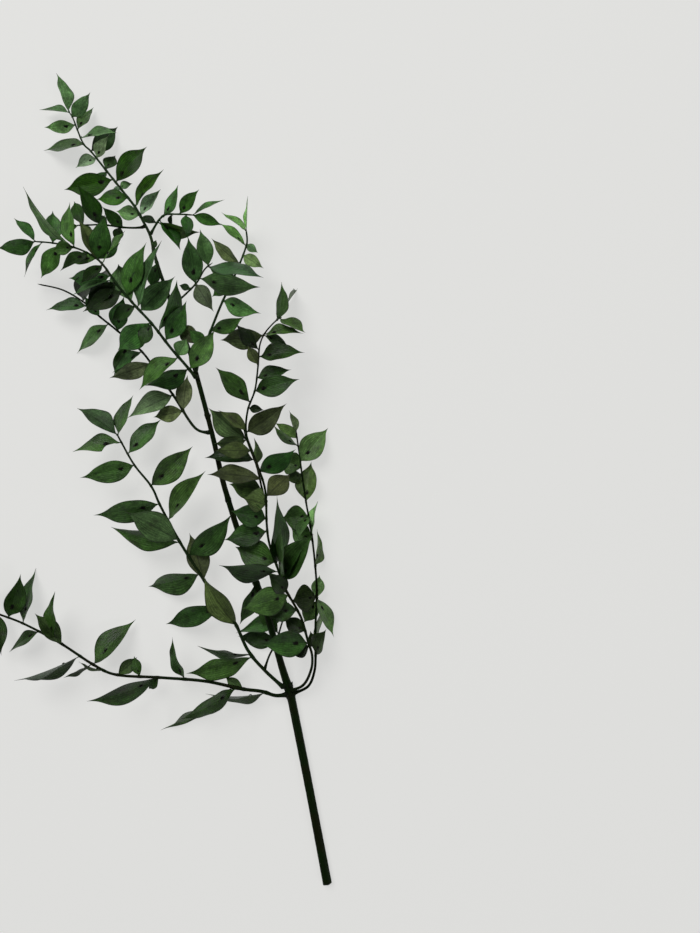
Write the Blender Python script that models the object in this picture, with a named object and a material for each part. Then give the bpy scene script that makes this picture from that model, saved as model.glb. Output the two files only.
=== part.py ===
"""Dried ruscus stem, cut and laid down on a surface.

One woody stem with its leafy side branches, modelled in metres with +Z up. The stem lies along Y
with its tip towards +Y, and the surface that it lies on is z = 0. Lengths in the tables below are
in millimetres and angles in degrees, because that is how such a stem is measured by hand.
"""
import math
import random

import bmesh
import bpy
from mathutils import Vector
from mathutils.bvhtree import BVHTree

MM = 0.001

# Driving dimensions of the wood, in millimetres. LOWER_STEM is the bare length under the knuckle
CUT_END_RADIUS = 3.5
KNUCKLE_RADIUS = 3.1
STEM_TIP_RADIUS = 0.65
BRANCH_RADIUS = 1.25
TWIG_RADIUS = 0.95
BRANCH_TIP_RADIUS = 0.6
TAPER_POWER = 0.75
LOWER_STEM = 153.0
STEM_STEP = 14.0
BRANCH_STEP = 10.0
JOINT_GAP = 0.3
START_STEP = 0.05
ROOT_MARGIN = 1.5
ROUTE_STEP = 1.0

# Driving dimensions of a leaf, in millimetres, or as a share of its length for stations and petiole
LEAF_THICKNESS = 0.7
LEAF_WIDTH_SHARE = 0.42
LEAF_WIDTH_LIMIT = 20.0
LEAF_LENGTH_LIMIT = 52.0
PETIOLE_HALF_WIDTH = 0.4
LEAF_STATIONS = (0.0, 0.05, 0.18, 0.42, 0.72, 1.0)
PETIOLE_END = 0.05
OUTLINE_RISE = 0.85
OUTLINE_FALL = 1.35
LEAF_CLEARANCE = 0.35
DEEPEST_TIP = -7.0

# How much leaves differ, as the seeded draw takes it: pitch in degrees, the rest as shares
SEED = 40
PITCH_RANGE = (-18, 26)
FOLD_RANGE = (0.05, 0.3)
ARCH_RANGE = (-0.02, 0.14)
CURL_RANGE = (-0.16, 0.02)
RIPPLE_RANGE = (-0.12, 0.12)

# Turns of pitch and roll that a leaf tries, the smallest first, until it lies clear of its neighbours.
# They are in degrees, and a leaf that is seen edge-on rolls less. ROLL_COST weighs roll against pitch.
PITCH_TURNS = (0, 8, -8, 16, -16, 24, -24, 32, -32, 40, -40)
ROLL_TURNS = (0, 25, -25, 50, -50)
ROLL_COST = 0.6

# Colours and roughness of the dried bark and of the leaves
BARK_COLOUR = (0.03, 0.05, 0.025)
BARK_ROUGHNESS = 0.6
LEAF_COLOUR = (0.05, 0.12, 0.045)
LEAF_ROUGHNESS = 0.45

# The knuckle, where the lowest branches leave the stem, seen from the middle of the whole thing's box
KNUCKLE_FROM_MIDDLE = (127.3, -162.5)

# Each branch: what it grows from, its radius at the base, its route from base to tip as (x, y, z) from
# the knuckle, and its leaves in the order that they grow, each as its distance along the wood, its
# heading in plan, and its length and width as seen from above. A heading of 90 points to +Y.
BRANCHES = {
    "main_stem": {
        "grows_from": None,
        "radius": KNUCKLE_RADIUS,
        "route": [
            (29, -149, 3.5), (15, -75, 4), (5, -24, 4.5), (0, 0, 5), (-5, 17, 7), (-10, 36, 10),
            (-20, 74, 15), (-29, 97, 18), (-36, 120, 20), (-42, 140, 22), (-49, 165, 24),
            (-54, 189, 26), (-59, 210, 27), (-66, 237, 28), (-72, 258, 28), (-79, 276, 28),
            (-91, 308, 27), (-99, 331, 25), (-103, 347, 23), (-109, 359, 21), (-116, 371, 19),
            (-127, 385, 17), (-139, 400, 15), (-151, 415, 13), (-157, 421, 12), (-162, 432, 11),
            (-166, 442, 10), (-170, 448, 9),
        ],
        "leaves": [
            (243, 250, 34, 10), (443, 320, 21, 12), (495, 255, 20, 10), (506, 70, 7, 4),
            (535, 50, 25, 10), (535, 170, 19, 11), (543, 50, 34, 12), (552, 182, 24, 12),
            (561, 190, 7, 4), (563, 20, 10, 6), (568, 44, 34, 16), (571, 192, 38, 14),
            (579, 225, 18, 8), (581, 68, 15, 10), (593, 50, 18, 10), (593, 215, 16, 10),
            (600, 50, 30, 11), (608, 179, 36, 13), (614, 0, 31, 11), (621, 66, 24, 10),
            (625, 189, 23, 7), (632, 43, 23, 7), (638, 170, 24, 7), (639, 106, 29, 7),
        ],
    },
    "low_left_branch": {
        "grows_from": "main_stem",
        "radius": BRANCH_RADIUS,
        "route": [
            (-1, -1, 5), (-11, -1, 8), (-21, 3, 11), (-37, 6, 14), (-64, 12, 15), (-98, 15, 16),
            (-130, 17, 16), (-147, 24, 16), (-174, 41, 15), (-202, 55, 13), (-221, 62, 12),
            (-239, 68, 10), (-253, 73, 9),
        ],
        "leaves": [
            (18, 186, 47, 9), (36, 150, 17, 8), (41, 204, 44, 13), (44, 217, 71, 12),
            (81, 110, 33, 10), (101, 230, 14, 7), (102, 199, 43, 15), (115, 110, 16, 8),
            (132, 40, 18, 10), (143, 170, 21, 5), (152, 48, 43, 15), (153, 205, 20, 4),
            (164, 205, 52, 6), (180, 126, 31, 9), (188, 85, 38, 12), (201, 210, 29, 8),
            (215, 82, 41, 13), (227, 69, 36, 12), (239, 80, 33, 10), (242, 295, 33, 9),
            (255, 110, 40, 11), (259, 230, 35, 10), (267, 160, 39, 9),
        ],
    },
    "left_branch": {
        "grows_from": "main_stem",
        "radius": BRANCH_RADIUS,
        "route": [
            (-1, 1, 6), (-19, 20, 13), (-31, 36, 17), (-41, 58, 19), (-55, 77, 20), (-67, 95, 21),
            (-82, 119, 21), (-96, 145, 21), (-103, 160, 21), (-116, 176, 20), (-126, 193, 19),
            (-130, 200, 18),
        ],
        "leaves": [
            (41, 198, 50, 17), (43, 176, 39, 9), (68, 125, 46, 18), (86, 199, 53, 15),
            (110, 108, 38, 15), (116, 194, 46, 17), (132, 40, 45, 16), (144, 171, 57, 15),
            (146, 145, 40, 19), (163, 56, 47, 15), (177, 190, 44, 16), (192, 46, 42, 16),
            (212, 195, 39, 15), (222, 47, 36, 14), (232, 188, 36, 12), (240, 75, 33, 12),
            (240, 145, 37, 11),
        ],
    },
    "left_fork": {
        "grows_from": "left_branch",
        "radius": TWIG_RADIUS,
        "route": [(-19, 20, 12), (-16, 29, 7), (-11, 39, 4.5), (-6, 55, 4), (-1, 70, 5)],
        "leaves": [
            (23, 175, 31, 14), (29, 125, 28, 11), (41, 190, 39, 10), (54, 150, 19, 9),
        ],
    },
    "middle_left_branch": {
        "grows_from": "main_stem",
        "radius": BRANCH_RADIUS,
        "route": [
            (-58, 200, 26), (-67, 202, 24), (-74, 209, 22), (-86, 227, 18), (-100, 246, 14),
            (-113, 263, 11), (-132, 279, 9), (-147, 291, 8), (-158, 301, 7), (-175, 311, 6),
            (-195, 316, 5),
        ],
        "leaves": [
            (29, 86, 28, 12), (29, 190, 25, 12), (44, 206, 36, 15), (75, 200, 33, 11),
            (87, 215, 28, 9), (100, 240, 30, 10), (112, 75, 26, 14), (121, 217, 35, 13),
            (130, 125, 18, 8), (143, 183, 31, 11),
        ],
    },
    "high_left_branch": {
        "grows_from": "main_stem",
        "radius": BRANCH_RADIUS,
        "route": [
            (-67, 240, 31), (-74, 249, 34), (-85, 262, 37), (-98, 279, 39), (-111, 293, 39),
            (-123, 307, 38), (-134, 322, 36), (-143, 330, 34), (-158, 337, 31), (-175, 341, 28),
            (-190, 343, 25),
        ],
        "leaves": [
            (8, 55, 34, 14), (9, 200, 38, 10), (20, 215, 38, 14), (21, 60, 14, 11),
            (35, 60, 34, 12), (43, 65, 39, 14), (51, 245, 19, 10), (52, 212, 36, 16),
            (63, 45, 36, 14), (66, 65, 50, 14), (68, 205, 22, 10), (72, 114, 35, 18),
            (78, 70, 39, 16), (83, 213, 30, 14), (91, 220, 29, 13), (94, 215, 28, 9),
            (97, 180, 34, 10), (103, 205, 35, 10), (108, 240, 21, 9), (109, 45, 29, 8),
            (114, 45, 21, 9), (114, 68, 29, 13), (115, 110, 29, 9), (115, 180, 24, 9),
            (124, 232, 22, 10), (135, 100, 33, 12), (136, 185, 17, 10), (137, 131, 49, 4),
            (146, 227, 31, 12), (153, 97, 27, 9), (162, 240, 29, 8), (168, 195, 29, 8),
            (169, 130, 23, 6),
        ],
    },
    "high_left_twig": {
        "grows_from": "main_stem",
        "radius": TWIG_RADIUS,
        "route": [
            (-108, 355, 21), (-116, 355, 19), (-126, 356, 17), (-136, 358, 15), (-144, 359, 14),
            (-153, 359, 13), (-163, 359, 12),
        ],
        "leaves": [
            (18, 135, 18, 9), (20, 250, 12, 8), (31, 130, 12, 6), (37, 110, 25, 12),
            (47, 285, 8, 5), (50, 115, 23, 10), (55, 200, 15, 7),
        ],
    },
    "top_right_twig": {
        "grows_from": "main_stem",
        "radius": TWIG_RADIUS,
        "route": [
            (-103, 349, 23), (-99, 354, 26), (-95, 358, 29), (-90, 361, 31), (-80, 361, 32),
            (-68, 360, 33),
        ],
        "leaves": [
            (10, 160, 15, 6), (11, 337, 33, 6), (13, 308, 29, 8), (17, 62, 26, 4),
            (24, 260, 9, 4), (30, 45, 22, 10), (35, 275, 20, 8), (42, 31, 26, 7),
            (42, 344, 22, 8),
        ],
    },
    "upper_right_twig": {
        "grows_from": "main_stem",
        "radius": TWIG_RADIUS,
        "route": [(-86, 294, 28), (-75, 302, 32), (-66, 310, 35), (-60, 319, 37), (-54, 324, 37)],
        "leaves": [
            (20, 165, 9, 5), (25, 97, 33, 14), (25, 305, 25, 12), (30, 345, 45, 12),
            (41, 101, 25, 11), (41, 330, 26, 11), (41, 345, 43, 13),
        ],
    },
    "upper_right_branch": {
        "grows_from": "main_stem",
        "radius": TWIG_RADIUS,
        "route": [
            (-68, 245, 31), (-62, 261, 31), (-55, 280, 30), (-49, 296, 28), (-42, 312, 26),
            (-36, 327, 24), (-32, 339, 22), (-31, 345, 21), (-32, 354, 20),
        ],
        "leaves": [
            (21, 135, 16, 9), (32, 20, 27, 9), (57, 334, 30, 11), (72, 215, 18, 9),
            (88, 140, 27, 8), (95, 326, 19, 9), (103, 140, 23, 7), (104, 325, 11, 6),
            (115, 84, 23, 3), (115, 140, 25, 6),
        ],
    },
    "right_branch": {
        "grows_from": "main_stem",
        "radius": BRANCH_RADIUS,
        "route": [
            (0, 2, 7), (11, 9, 14), (17, 22, 20), (18, 34, 25), (15, 46, 29), (11, 62, 33),
            (6, 73, 36), (-1, 86, 38), (-7, 103, 40), (-12, 118, 41), (-14, 133, 42), (-15, 157, 42),
            (-20, 174, 42), (-25, 187, 42), (-29, 200, 42), (-28, 216, 40), (-23, 231, 38),
            (-21, 249, 36), (-20, 264, 34), (-16, 274, 32), (-8, 283, 31), (-4, 285, 31),
        ],
        "leaves": [
            (52, 200, 16, 10), (54, 175, 35, 15), (64, 150, 19, 10), (82, 180, 28, 12),
            (95, 194, 33, 17), (97, 130, 20, 10), (101, 140, 18, 7), (107, 55, 42, 16),
            (108, 60, 29, 9), (109, 90, 44, 6), (114, 170, 41, 13), (119, 90, 51, 8),
            (121, 160, 33, 18), (145, 190, 32, 14), (154, 165, 26, 14), (164, 160, 17, 14),
            (170, 45, 25, 13), (183, 170, 37, 10), (205, 180, 24, 12), (219, 31, 35, 15),
            (220, 140, 25, 8), (237, 350, 11, 6), (241, 130, 33, 13), (250, 15, 33, 15),
            (260, 15, 26, 10), (270, 120, 16, 8), (276, 6, 33, 13), (281, 135, 26, 9),
            (293, 185, 36, 14), (293, 340, 21, 8), (294, 5, 28, 8), (308, 75, 26, 7),
            (312, 75, 33, 7), (312, 325, 24, 9),
        ],
    },
    "right_fork": {
        "grows_from": "right_branch",
        "radius": TWIG_RADIUS,
        "route": [
            (-15, 147, 41), (-18, 159, 38), (-22, 175, 35), (-27, 187, 32), (-31, 198, 30),
            (-34, 211, 29),
        ],
        "leaves": [
            (12, 170, 25, 14), (25, 30, 32, 12), (30, 95, 21, 4), (35, 175, 37, 12),
            (51, 140, 37, 14), (51, 185, 25, 10),
        ],
    },
    "far_right_branch": {
        "grows_from": "main_stem",
        "radius": BRANCH_RADIUS,
        "route": [
            (1, -1, 5), (14, 6, 8), (19, 18, 10), (20, 31, 11), (20, 54, 12), (21, 77, 12),
            (20, 96, 12), (17, 123, 11), (13, 146, 11), (10, 165, 10), (8, 181, 10), (6, 195, 10),
            (5, 203, 10),
        ],
        "leaves": [
            (41, 70, 24, 8), (41, 85, 38, 4), (45, 110, 15, 6), (83, 240, 21, 10),
            (85, 85, 17, 8), (85, 295, 32, 7), (86, 190, 20, 15), (109, 80, 28, 4),
            (129, 150, 20, 12), (133, 80, 27, 4), (148, 185, 21, 15), (148, 240, 15, 6),
            (159, 85, 32, 13), (180, 195, 14, 8), (185, 155, 17, 14), (190, 50, 34, 15),
            (202, 140, 24, 6), (208, 140, 21, 8), (213, 105, 18, 5),
        ],
    },
}


def remove_everything():
    """Empties the scene that the script starts in."""
    for thing in list(bpy.data.objects):
        bpy.data.objects.remove(thing, do_unlink=True)


def make_material(name, colour, roughness):
    """A plain Principled material."""
    material = bpy.data.materials.new(name)
    material.use_nodes = True
    shader = material.node_tree.nodes["Principled BSDF"]
    shader.inputs["Base Color"].default_value = (*colour, 1.0)
    shader.inputs["Roughness"].default_value = roughness
    shader.inputs["Metallic"].default_value = 0.0
    return material


def smooth_route(points):
    """Closely spaced points on a smooth curve through the given points."""
    padded = [points[0] * 2 - points[1]] + points + [points[-1] * 2 - points[-2]]
    fine = []
    for i in range(len(points) - 1):
        before, start, end, after = padded[i:i + 4]
        pieces = max(1, round((end - start).length / ROUTE_STEP))
        for k in range(pieces):
            t = k / pieces
            fine.append(
                0.5 * (2 * start + (end - before) * t
                       + (2 * before - 5 * start + 4 * end - after) * t ** 2
                       + (3 * start - before - 3 * end + after) * t ** 3)
            )
    return fine + [points[-1]]


def even_route(points, step):
    """The same polyline with points at an even distance."""
    total = route_length(points)
    pieces = max(2, round(total / step))
    return [point_along(points, total * k / pieces) for k in range(pieces + 1)]


def route_length(points):
    """Length of a polyline."""
    return sum((b - a).length for a, b in zip(points, points[1:]))


def point_along(points, distance):
    """The point at a distance along a polyline."""
    for a, b in zip(points, points[1:]):
        length = (b - a).length
        if distance <= length:
            return a.lerp(b, distance / length)
        distance -= length
    return points[-1].copy()


def wood_radius(branch, distance, total):
    """Radius of the wood at a distance from its base. The main stem hardly tapers up to its knuckle."""
    if branch["grows_from"] is None:
        if distance < LOWER_STEM:
            return CUT_END_RADIUS + (KNUCKLE_RADIUS - CUT_END_RADIUS) * distance / LOWER_STEM
        share = (distance - LOWER_STEM) / (total - LOWER_STEM)
        return STEM_TIP_RADIUS + (KNUCKLE_RADIUS - STEM_TIP_RADIUS) * max(0.0, 1 - share) ** TAPER_POWER
    share = distance / total
    return BRANCH_TIP_RADIUS + (branch["radius"] - BRANCH_TIP_RADIUS) * max(0.0, 1 - share) ** TAPER_POWER


def bones(branch, parent_tree):
    """The wood's centre line from just outside its parent's bark, and how much of its route that leaves out."""
    route = smooth_route([Vector(point) for point in branch["route"]])
    if parent_tree is None:
        return even_route(route, STEM_STEP), 0.0
    start = 0.0
    while bark_gap(route, start, branch["radius"], parent_tree) < JOINT_GAP:
        start += START_STEP
    return even_route(route_from(route, start), BRANCH_STEP), start


def bark_gap(route, start, radius, parent_tree):
    """Gap between the parent's bark and the round end of a branch that starts at a distance along its route."""
    centre = point_along(route, start)
    ahead = (point_along(route, start + ROUTE_STEP) - centre).normalized()
    nearest, normal, _, distance = parent_tree.find_nearest(centre)
    if (centre - nearest).dot(normal) < 0:
        return -distance
    return distance - radius * math.sqrt(max(0.0, 1 - ahead.dot(normal) ** 2))


def route_from(route, start):
    """The rest of a polyline from a distance along it."""
    rest = [point_along(route, start)]
    for a, b in zip(route, route[1:]):
        start -= (b - a).length
        if start < 0:
            rest.append(b)
    return rest


def wood_mesh(name, branch, points):
    """The branch's wood as a tapered tube with closed ends."""
    total = route_length(points)
    data = bpy.data.curves.new(name, "CURVE")
    data.dimensions = "3D"
    data.bevel_depth = MM
    data.bevel_resolution = 2 if branch["grows_from"] is None else 1
    data.use_fill_caps = True
    spline = data.splines.new("POLY")
    spline.points.add(len(points) - 1)
    for i, point in enumerate(points):
        spline.points[i].co = (*(point * MM), 1.0)
        spline.points[i].radius = wood_radius(branch, total * i / (len(points) - 1), total)
    tube = bpy.data.objects.new(name + "_tube", data)
    bpy.context.scene.collection.objects.link(tube)
    mesh = bpy.data.meshes.new_from_object(tube.evaluated_get(bpy.context.evaluated_depsgraph_get()))
    bpy.data.objects.remove(tube, do_unlink=True)
    weld(mesh)
    return mesh


def weld(mesh):
    """Joins the loose caps of a tube to its sides."""
    work = bmesh.new()
    work.from_mesh(mesh)
    bmesh.ops.remove_doubles(work, verts=work.verts, dist=1e-6)
    bmesh.ops.recalc_face_normals(work, faces=work.faces)
    work.to_mesh(mesh)
    work.free()


def outline(t):
    """Half width of a leaf at a share of its length, as a share of its widest."""
    blade = max(0.0, (t - PETIOLE_END) / (1 - PETIOLE_END))
    peak = OUTLINE_RISE / (OUTLINE_RISE + OUTLINE_FALL)
    widest = peak ** OUTLINE_RISE * (1 - peak) ** OUTLINE_FALL
    return blade ** OUTLINE_RISE * (1 - blade) ** OUTLINE_FALL / widest


def leaf_rows(leaf, grow=0.0, start=0):
    """The leaf's cross-rows from root to tip: for each, pairs of upper and lower points, side to side.

    The petiole's rows have two pairs, the tip one, and each row of the blade three, for the midrib.
    """
    pitch, roll, heading = (math.radians(leaf[key]) for key in ("pitch", "roll", "heading"))
    ahead = Vector((math.cos(heading) * math.cos(pitch), math.sin(heading) * math.cos(pitch), math.sin(pitch)))
    level = Vector((-math.sin(heading), math.cos(heading), 0))
    upward = ahead.cross(level)
    across = level * math.cos(roll) + upward * math.sin(roll)
    face = upward * math.cos(roll) - level * math.sin(roll)
    thick = LEAF_THICKNESS / 2 + grow
    rows = []
    for t in LEAF_STATIONS[start:]:
        centre = leaf["root"] + ahead * (leaf["length"] * t)
        centre += face * (leaf["length"] * (leaf["curl"] * t * t + leaf["arch"] * t * (1 - t)))
        half = max(PETIOLE_HALF_WIDTH, leaf["half_width"] * outline(t)) + grow
        sides = (-1, 0, 1)
        if t <= PETIOLE_END:
            sides = (-1, 1)
        if t == LEAF_STATIONS[-1]:
            sides = (0,)
            centre += ahead * grow
        ripple = leaf["ripple"] * math.sin(2 * math.pi * t) if len(sides) == 3 else 0.0
        row = []
        for side in sides:
            middle = centre + across * (side * half) + face * (half * (abs(side) * leaf["fold"] + side * ripple))
            row.append(rest_on_floor(middle + face * thick, middle - face * thick, grow))
        rows.append(row)
    return rows


def rest_on_floor(upper, lower, grow):
    """Lifts a pair of facing points so that neither is under the surface."""
    lift = Vector((0, 0, max(0.0, -grow - min(upper.z, lower.z))))
    return upper + lift, lower + lift


def leaf_faces(rows):
    """Vertices and faces of a leaf: flat sides round the petiole, then a blade split alike on both faces."""
    vertices, uppers = [], []
    for row in rows:
        uppers.append([])
        for upper, lower in row:
            uppers[-1].append(len(vertices))
            vertices.extend((upper, lower))
    faces = []
    for near, far in zip(uppers, uppers[1:]):
        for face in strip(near, far):
            faces.extend([face, tuple(i + 1 for i in reversed(face))])
        for a, b in ((near[0], far[0]), (far[-1], near[-1])):
            faces.append((a, a + 1, b + 1, b))
    for row in (uppers[0], uppers[-1][::-1]):
        for a, b in zip(row, row[1:]):
            faces.append((a, b, b + 1, a + 1))
    return vertices, faces


def strip(near, far):
    """Faces between two rows of a leaf's upper points, which may differ in number."""
    if len(near) == len(far) == 2:
        return [(near[0], near[1], far[1], far[0])]
    if len(near) == len(far):
        return [
            (near[0], near[1], far[1]), (near[0], far[1], far[0]),
            (near[1], near[2], far[1]), (near[2], far[2], far[1]),
        ]
    if len(far) == 1:
        return [(near[0], near[1], far[0]), (near[1], near[2], far[0])]
    return [(near[0], far[1], far[0]), (near[0], near[1], far[1]), (near[1], far[2], far[1])]


def leaf_tree(rows):
    """A search tree of a leaf's surface."""
    vertices, faces = leaf_faces(rows)
    return BVHTree.FromPolygons(vertices, faces), box_of(vertices)


def box_of(vertices):
    """Lowest and highest corners."""
    low = [min(v[k] for v in vertices) for k in range(3)]
    high = [max(v[k] for v in vertices) for k in range(3)]
    return low, high


def boxes_meet(a, b):
    """Whether two boxes share any space."""
    return all(a[0][k] <= b[1][k] and b[0][k] <= a[1][k] for k in range(3))


def hits(tree, box, others):
    """Whether a surface crosses any of the others."""
    return any(boxes_meet(box, other_box) and tree.overlap(other) for other, other_box in others)


def draw_leaf(draw, root, heading, length, width):
    """A leaf with its random draw: how it is pitched, rolled, curled and rippled."""
    return {
        "root": root,
        "heading": heading,
        "seen_length": length,
        "seen_width": width,
        "pitch": draw.uniform(*PITCH_RANGE),
        "side": draw.choice((-1, 1)),
        "fold": draw.uniform(*FOLD_RANGE),
        "arch": draw.uniform(*ARCH_RANGE),
        "curl": draw.uniform(*CURL_RANGE),
        "ripple": draw.uniform(*RIPPLE_RANGE),
    }


def turned(leaf, pitch_turn, roll_turn):
    """The same leaf at another pitch and roll, long enough to look as long from above."""
    pitch = leaf["pitch"] + pitch_turn
    true_length = min(LEAF_LENGTH_LIMIT, leaf["seen_length"] / math.cos(math.radians(pitch)))
    true_length = max(true_length, leaf["seen_length"])
    true_width = max(leaf["seen_width"], min(LEAF_WIDTH_LIMIT, LEAF_WIDTH_SHARE * true_length))
    openness = leaf["seen_width"] / true_width
    roll = leaf["side"] * math.degrees(math.acos(openness)) + openness * roll_turn
    return {**leaf, "pitch": pitch, "roll": roll, "length": true_length, "half_width": true_width / 2}


def place_leaf(leaf, own_blades, foreign):
    """Turns the leaf until it lies clear of other branches and, if it can, of its own branch's leaves."""
    turns = [(pitch, roll) for pitch in PITCH_TURNS for roll in ROLL_TURNS]
    turns.sort(key=lambda turn: abs(turn[0]) + ROLL_COST * abs(turn[1]))
    choices = [turned(leaf, pitch, roll) for pitch, roll in turns]
    spare = None
    for choice in choices:
        tip = choice["root"].z + choice["length"] * math.sin(math.radians(choice["pitch"]))
        if tip < DEEPEST_TIP:
            continue
        if hits(*leaf_tree(leaf_rows(choice, LEAF_CLEARANCE)), foreign):
            continue
        if not hits(*leaf_tree(leaf_rows(choice, LEAF_CLEARANCE, 1)), own_blades):
            return choice
        spare = spare or choice
    return spare


def leaf_root(along, bone, left_out):
    """Where a leaf grows on the wood's centre line, a little way in from both of its ends."""
    return point_along(bone, min(max(along - left_out, ROOT_MARGIN), route_length(bone) - ROOT_MARGIN))


def lay_leaves(skeleton, wood):
    """Places every leaf of every branch, and leaves out the few that find no room."""
    placed = {name: [] for name in BRANCHES}
    trees = {name: [] for name in BRANCHES}
    blades = {name: [] for name in BRANCHES}
    for number, (name, branch) in enumerate(BRANCHES.items()):
        draw = random.Random(SEED + number)
        for along, heading, length, width in branch["leaves"]:
            leaf = draw_leaf(draw, leaf_root(along, *skeleton[name]), heading, length, width)
            foreign = [tree for other in BRANCHES if other != name for tree in trees[other] + [wood[other]]]
            choice = place_leaf(leaf, blades[name], foreign)
            if choice is None:
                print("no room for a leaf of", name, "at", along)
                continue
            placed[name].append(choice)
            trees[name].append(leaf_tree(leaf_rows(choice)))
            blades[name].append(leaf_tree(leaf_rows(choice, 0.0, 1)))
    return placed


def leaf_object(name, leaf, collection):
    """One leaf as a closed solid."""
    vertices, faces = leaf_faces(leaf_rows(leaf))
    mesh = bpy.data.meshes.new(name)
    mesh.from_pydata([v * MM for v in vertices], [], faces)
    work = bmesh.new()
    work.from_mesh(mesh)
    bmesh.ops.recalc_face_normals(work, faces=work.faces)
    work.to_mesh(mesh)
    work.free()
    solid = bpy.data.objects.new(name, mesh)
    collection.objects.link(solid)


def grow_together(name, wood, leaves, collection):
    """Joins a branch's wood and its leaves into one solid."""
    solid = bpy.data.objects.new(name, wood)
    collection.objects.link(solid)
    loose = bpy.data.collections.new(name + "_leaves")
    bpy.context.scene.collection.children.link(loose)
    for i, leaf in enumerate(leaves):
        leaf_object(f"{name}_leaf_{i}", leaf, loose)
    union = solid.modifiers.new("leaves", "BOOLEAN")
    union.operation = "UNION"
    union.operand_type = "COLLECTION"
    union.collection = loose
    union.solver = "EXACT"
    union.use_self = True
    joined = bpy.data.meshes.new_from_object(solid.evaluated_get(bpy.context.evaluated_depsgraph_get()))
    solid.modifiers.remove(union)
    solid.data = joined
    for leaf in list(loose.objects):
        bpy.data.objects.remove(leaf, do_unlink=True)
    bpy.data.collections.remove(loose)
    return solid


def tree_of_mesh(mesh):
    """A search tree of a mesh in millimetres, with its box."""
    vertices = [v.co / MM for v in mesh.vertices]
    return BVHTree.FromPolygons(vertices, [tuple(p.vertices) for p in mesh.polygons]), box_of(vertices)


def main():
    """Builds the stem and its branches."""
    remove_everything()
    collection = bpy.data.collections.new("dried_ruscus_stem")
    bpy.context.scene.collection.children.link(collection)
    bark = make_material("bark", BARK_COLOUR, BARK_ROUGHNESS)
    leaf_green = make_material("leaf_green", LEAF_COLOUR, LEAF_ROUGHNESS)
    skeleton, wood, wood_trees = {}, {}, {None: (None, None)}
    for name, branch in BRANCHES.items():
        skeleton[name] = bones(branch, wood_trees[branch["grows_from"]][0])
        wood[name] = wood_mesh(name, branch, skeleton[name][0])
        wood_trees[name] = tree_of_mesh(wood[name])
    leaves = lay_leaves(skeleton, wood_trees)
    for name in BRANCHES:
        solid = grow_together(name, wood[name], leaves[name], collection)
        solid.data.materials.clear()
        solid.data.materials.append(bark if name == "main_stem" else leaf_green)
        solid.location = (KNUCKLE_FROM_MIDDLE[0] * MM, KNUCKLE_FROM_MIDDLE[1] * MM, 0)


main()
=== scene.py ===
"""Looks of a dried ruscus stem that lies on a pale surface.

The solids carry the same leaves, only coarser. This script places every leaf again by the same rule and
the same seeded draw, then gives each its veins, bud, rim and colour, and gives the wood its bark. Lengths
are in millimetres from the knuckle, where the lowest branches leave the stem, and turn into metres when a
mesh is made.
"""

import math
import random

import bmesh
import bpy
import numpy as np
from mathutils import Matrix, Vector
from mathutils.bvhtree import BVHTree

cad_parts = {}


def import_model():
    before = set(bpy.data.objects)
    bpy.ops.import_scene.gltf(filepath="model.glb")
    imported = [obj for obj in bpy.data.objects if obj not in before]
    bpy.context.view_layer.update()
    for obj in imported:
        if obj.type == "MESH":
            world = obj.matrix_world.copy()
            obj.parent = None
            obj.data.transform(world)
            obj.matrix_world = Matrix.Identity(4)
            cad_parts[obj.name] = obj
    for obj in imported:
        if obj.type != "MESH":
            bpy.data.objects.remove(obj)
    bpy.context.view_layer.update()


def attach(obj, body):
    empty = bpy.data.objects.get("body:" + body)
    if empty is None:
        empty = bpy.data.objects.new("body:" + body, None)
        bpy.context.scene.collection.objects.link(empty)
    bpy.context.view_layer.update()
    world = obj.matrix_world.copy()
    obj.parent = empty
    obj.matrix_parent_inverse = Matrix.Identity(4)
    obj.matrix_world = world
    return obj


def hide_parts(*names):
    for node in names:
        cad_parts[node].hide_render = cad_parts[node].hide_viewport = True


MM = 0.001

# Values that a mesh keeps at its points for the materials, three numbers each: blade is across, along and
# whether it is the back; spot is the distance from the bud, along and across, and its stain; tint is a
# colour, and on wood how green it is; grain is the distance along the wood, round it and how much it
# swells there; ring is the distance from the pith
VALUES = ("blade", "spot", "tint", "grain", "ring")

# The knuckle, seen from the middle of the whole thing's box
KNUCKLE_FROM_MIDDLE = (127.3, -162.5)

# The camera looks straight down from this point. The focal length is in pixels of the photo
CAMERA_PLACE = (46.3, 175.0, 599.0)
PHOTO_HEIGHT = 933
FOCAL_PIXELS = 769
SENSOR = 36.0
NEAREST_SEEN = 10.0

# Dimensions of the solids' wood
CUT_END_RADIUS = 3.5
KNUCKLE_RADIUS = 3.1
STEM_TIP_RADIUS = 0.65
BRANCH_RADIUS = 1.25
TWIG_RADIUS = 0.95
BRANCH_TIP_RADIUS = 0.6
TAPER_POWER = 0.75
LOWER_STEM = 153.0
STEM_STEP = 14.0
BRANCH_STEP = 10.0
JOINT_GAP = 0.3
START_STEP = 0.05
ROOT_MARGIN = 1.5
ROUTE_STEP = 1.0

# Dimensions of the solids' leaves, in millimetres, or as a share of the length for stations and petiole
LEAF_THICKNESS = 0.7
LEAF_WIDTH_SHARE = 0.42
LEAF_WIDTH_LIMIT = 20.0
LEAF_LENGTH_LIMIT = 52.0
PETIOLE_HALF_WIDTH = 0.4
LEAF_STATIONS = (0.0, 0.05, 0.18, 0.42, 0.72, 1.0)
PETIOLE_END = 0.05
OUTLINE_RISE = 0.85
OUTLINE_FALL = 1.35
LEAF_CLEARANCE = 0.35
DEEPEST_TIP = -7.0

# How much leaves differ, as the seeded draw takes it: pitch in degrees, the rest as shares
SEED = 40
PITCH_RANGE = (-18, 26)
SHAPE_RANGES = {"fold": (0.05, 0.3), "arch": (-0.02, 0.14), "curl": (-0.16, 0.02), "ripple": (-0.12, 0.12)}

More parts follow.
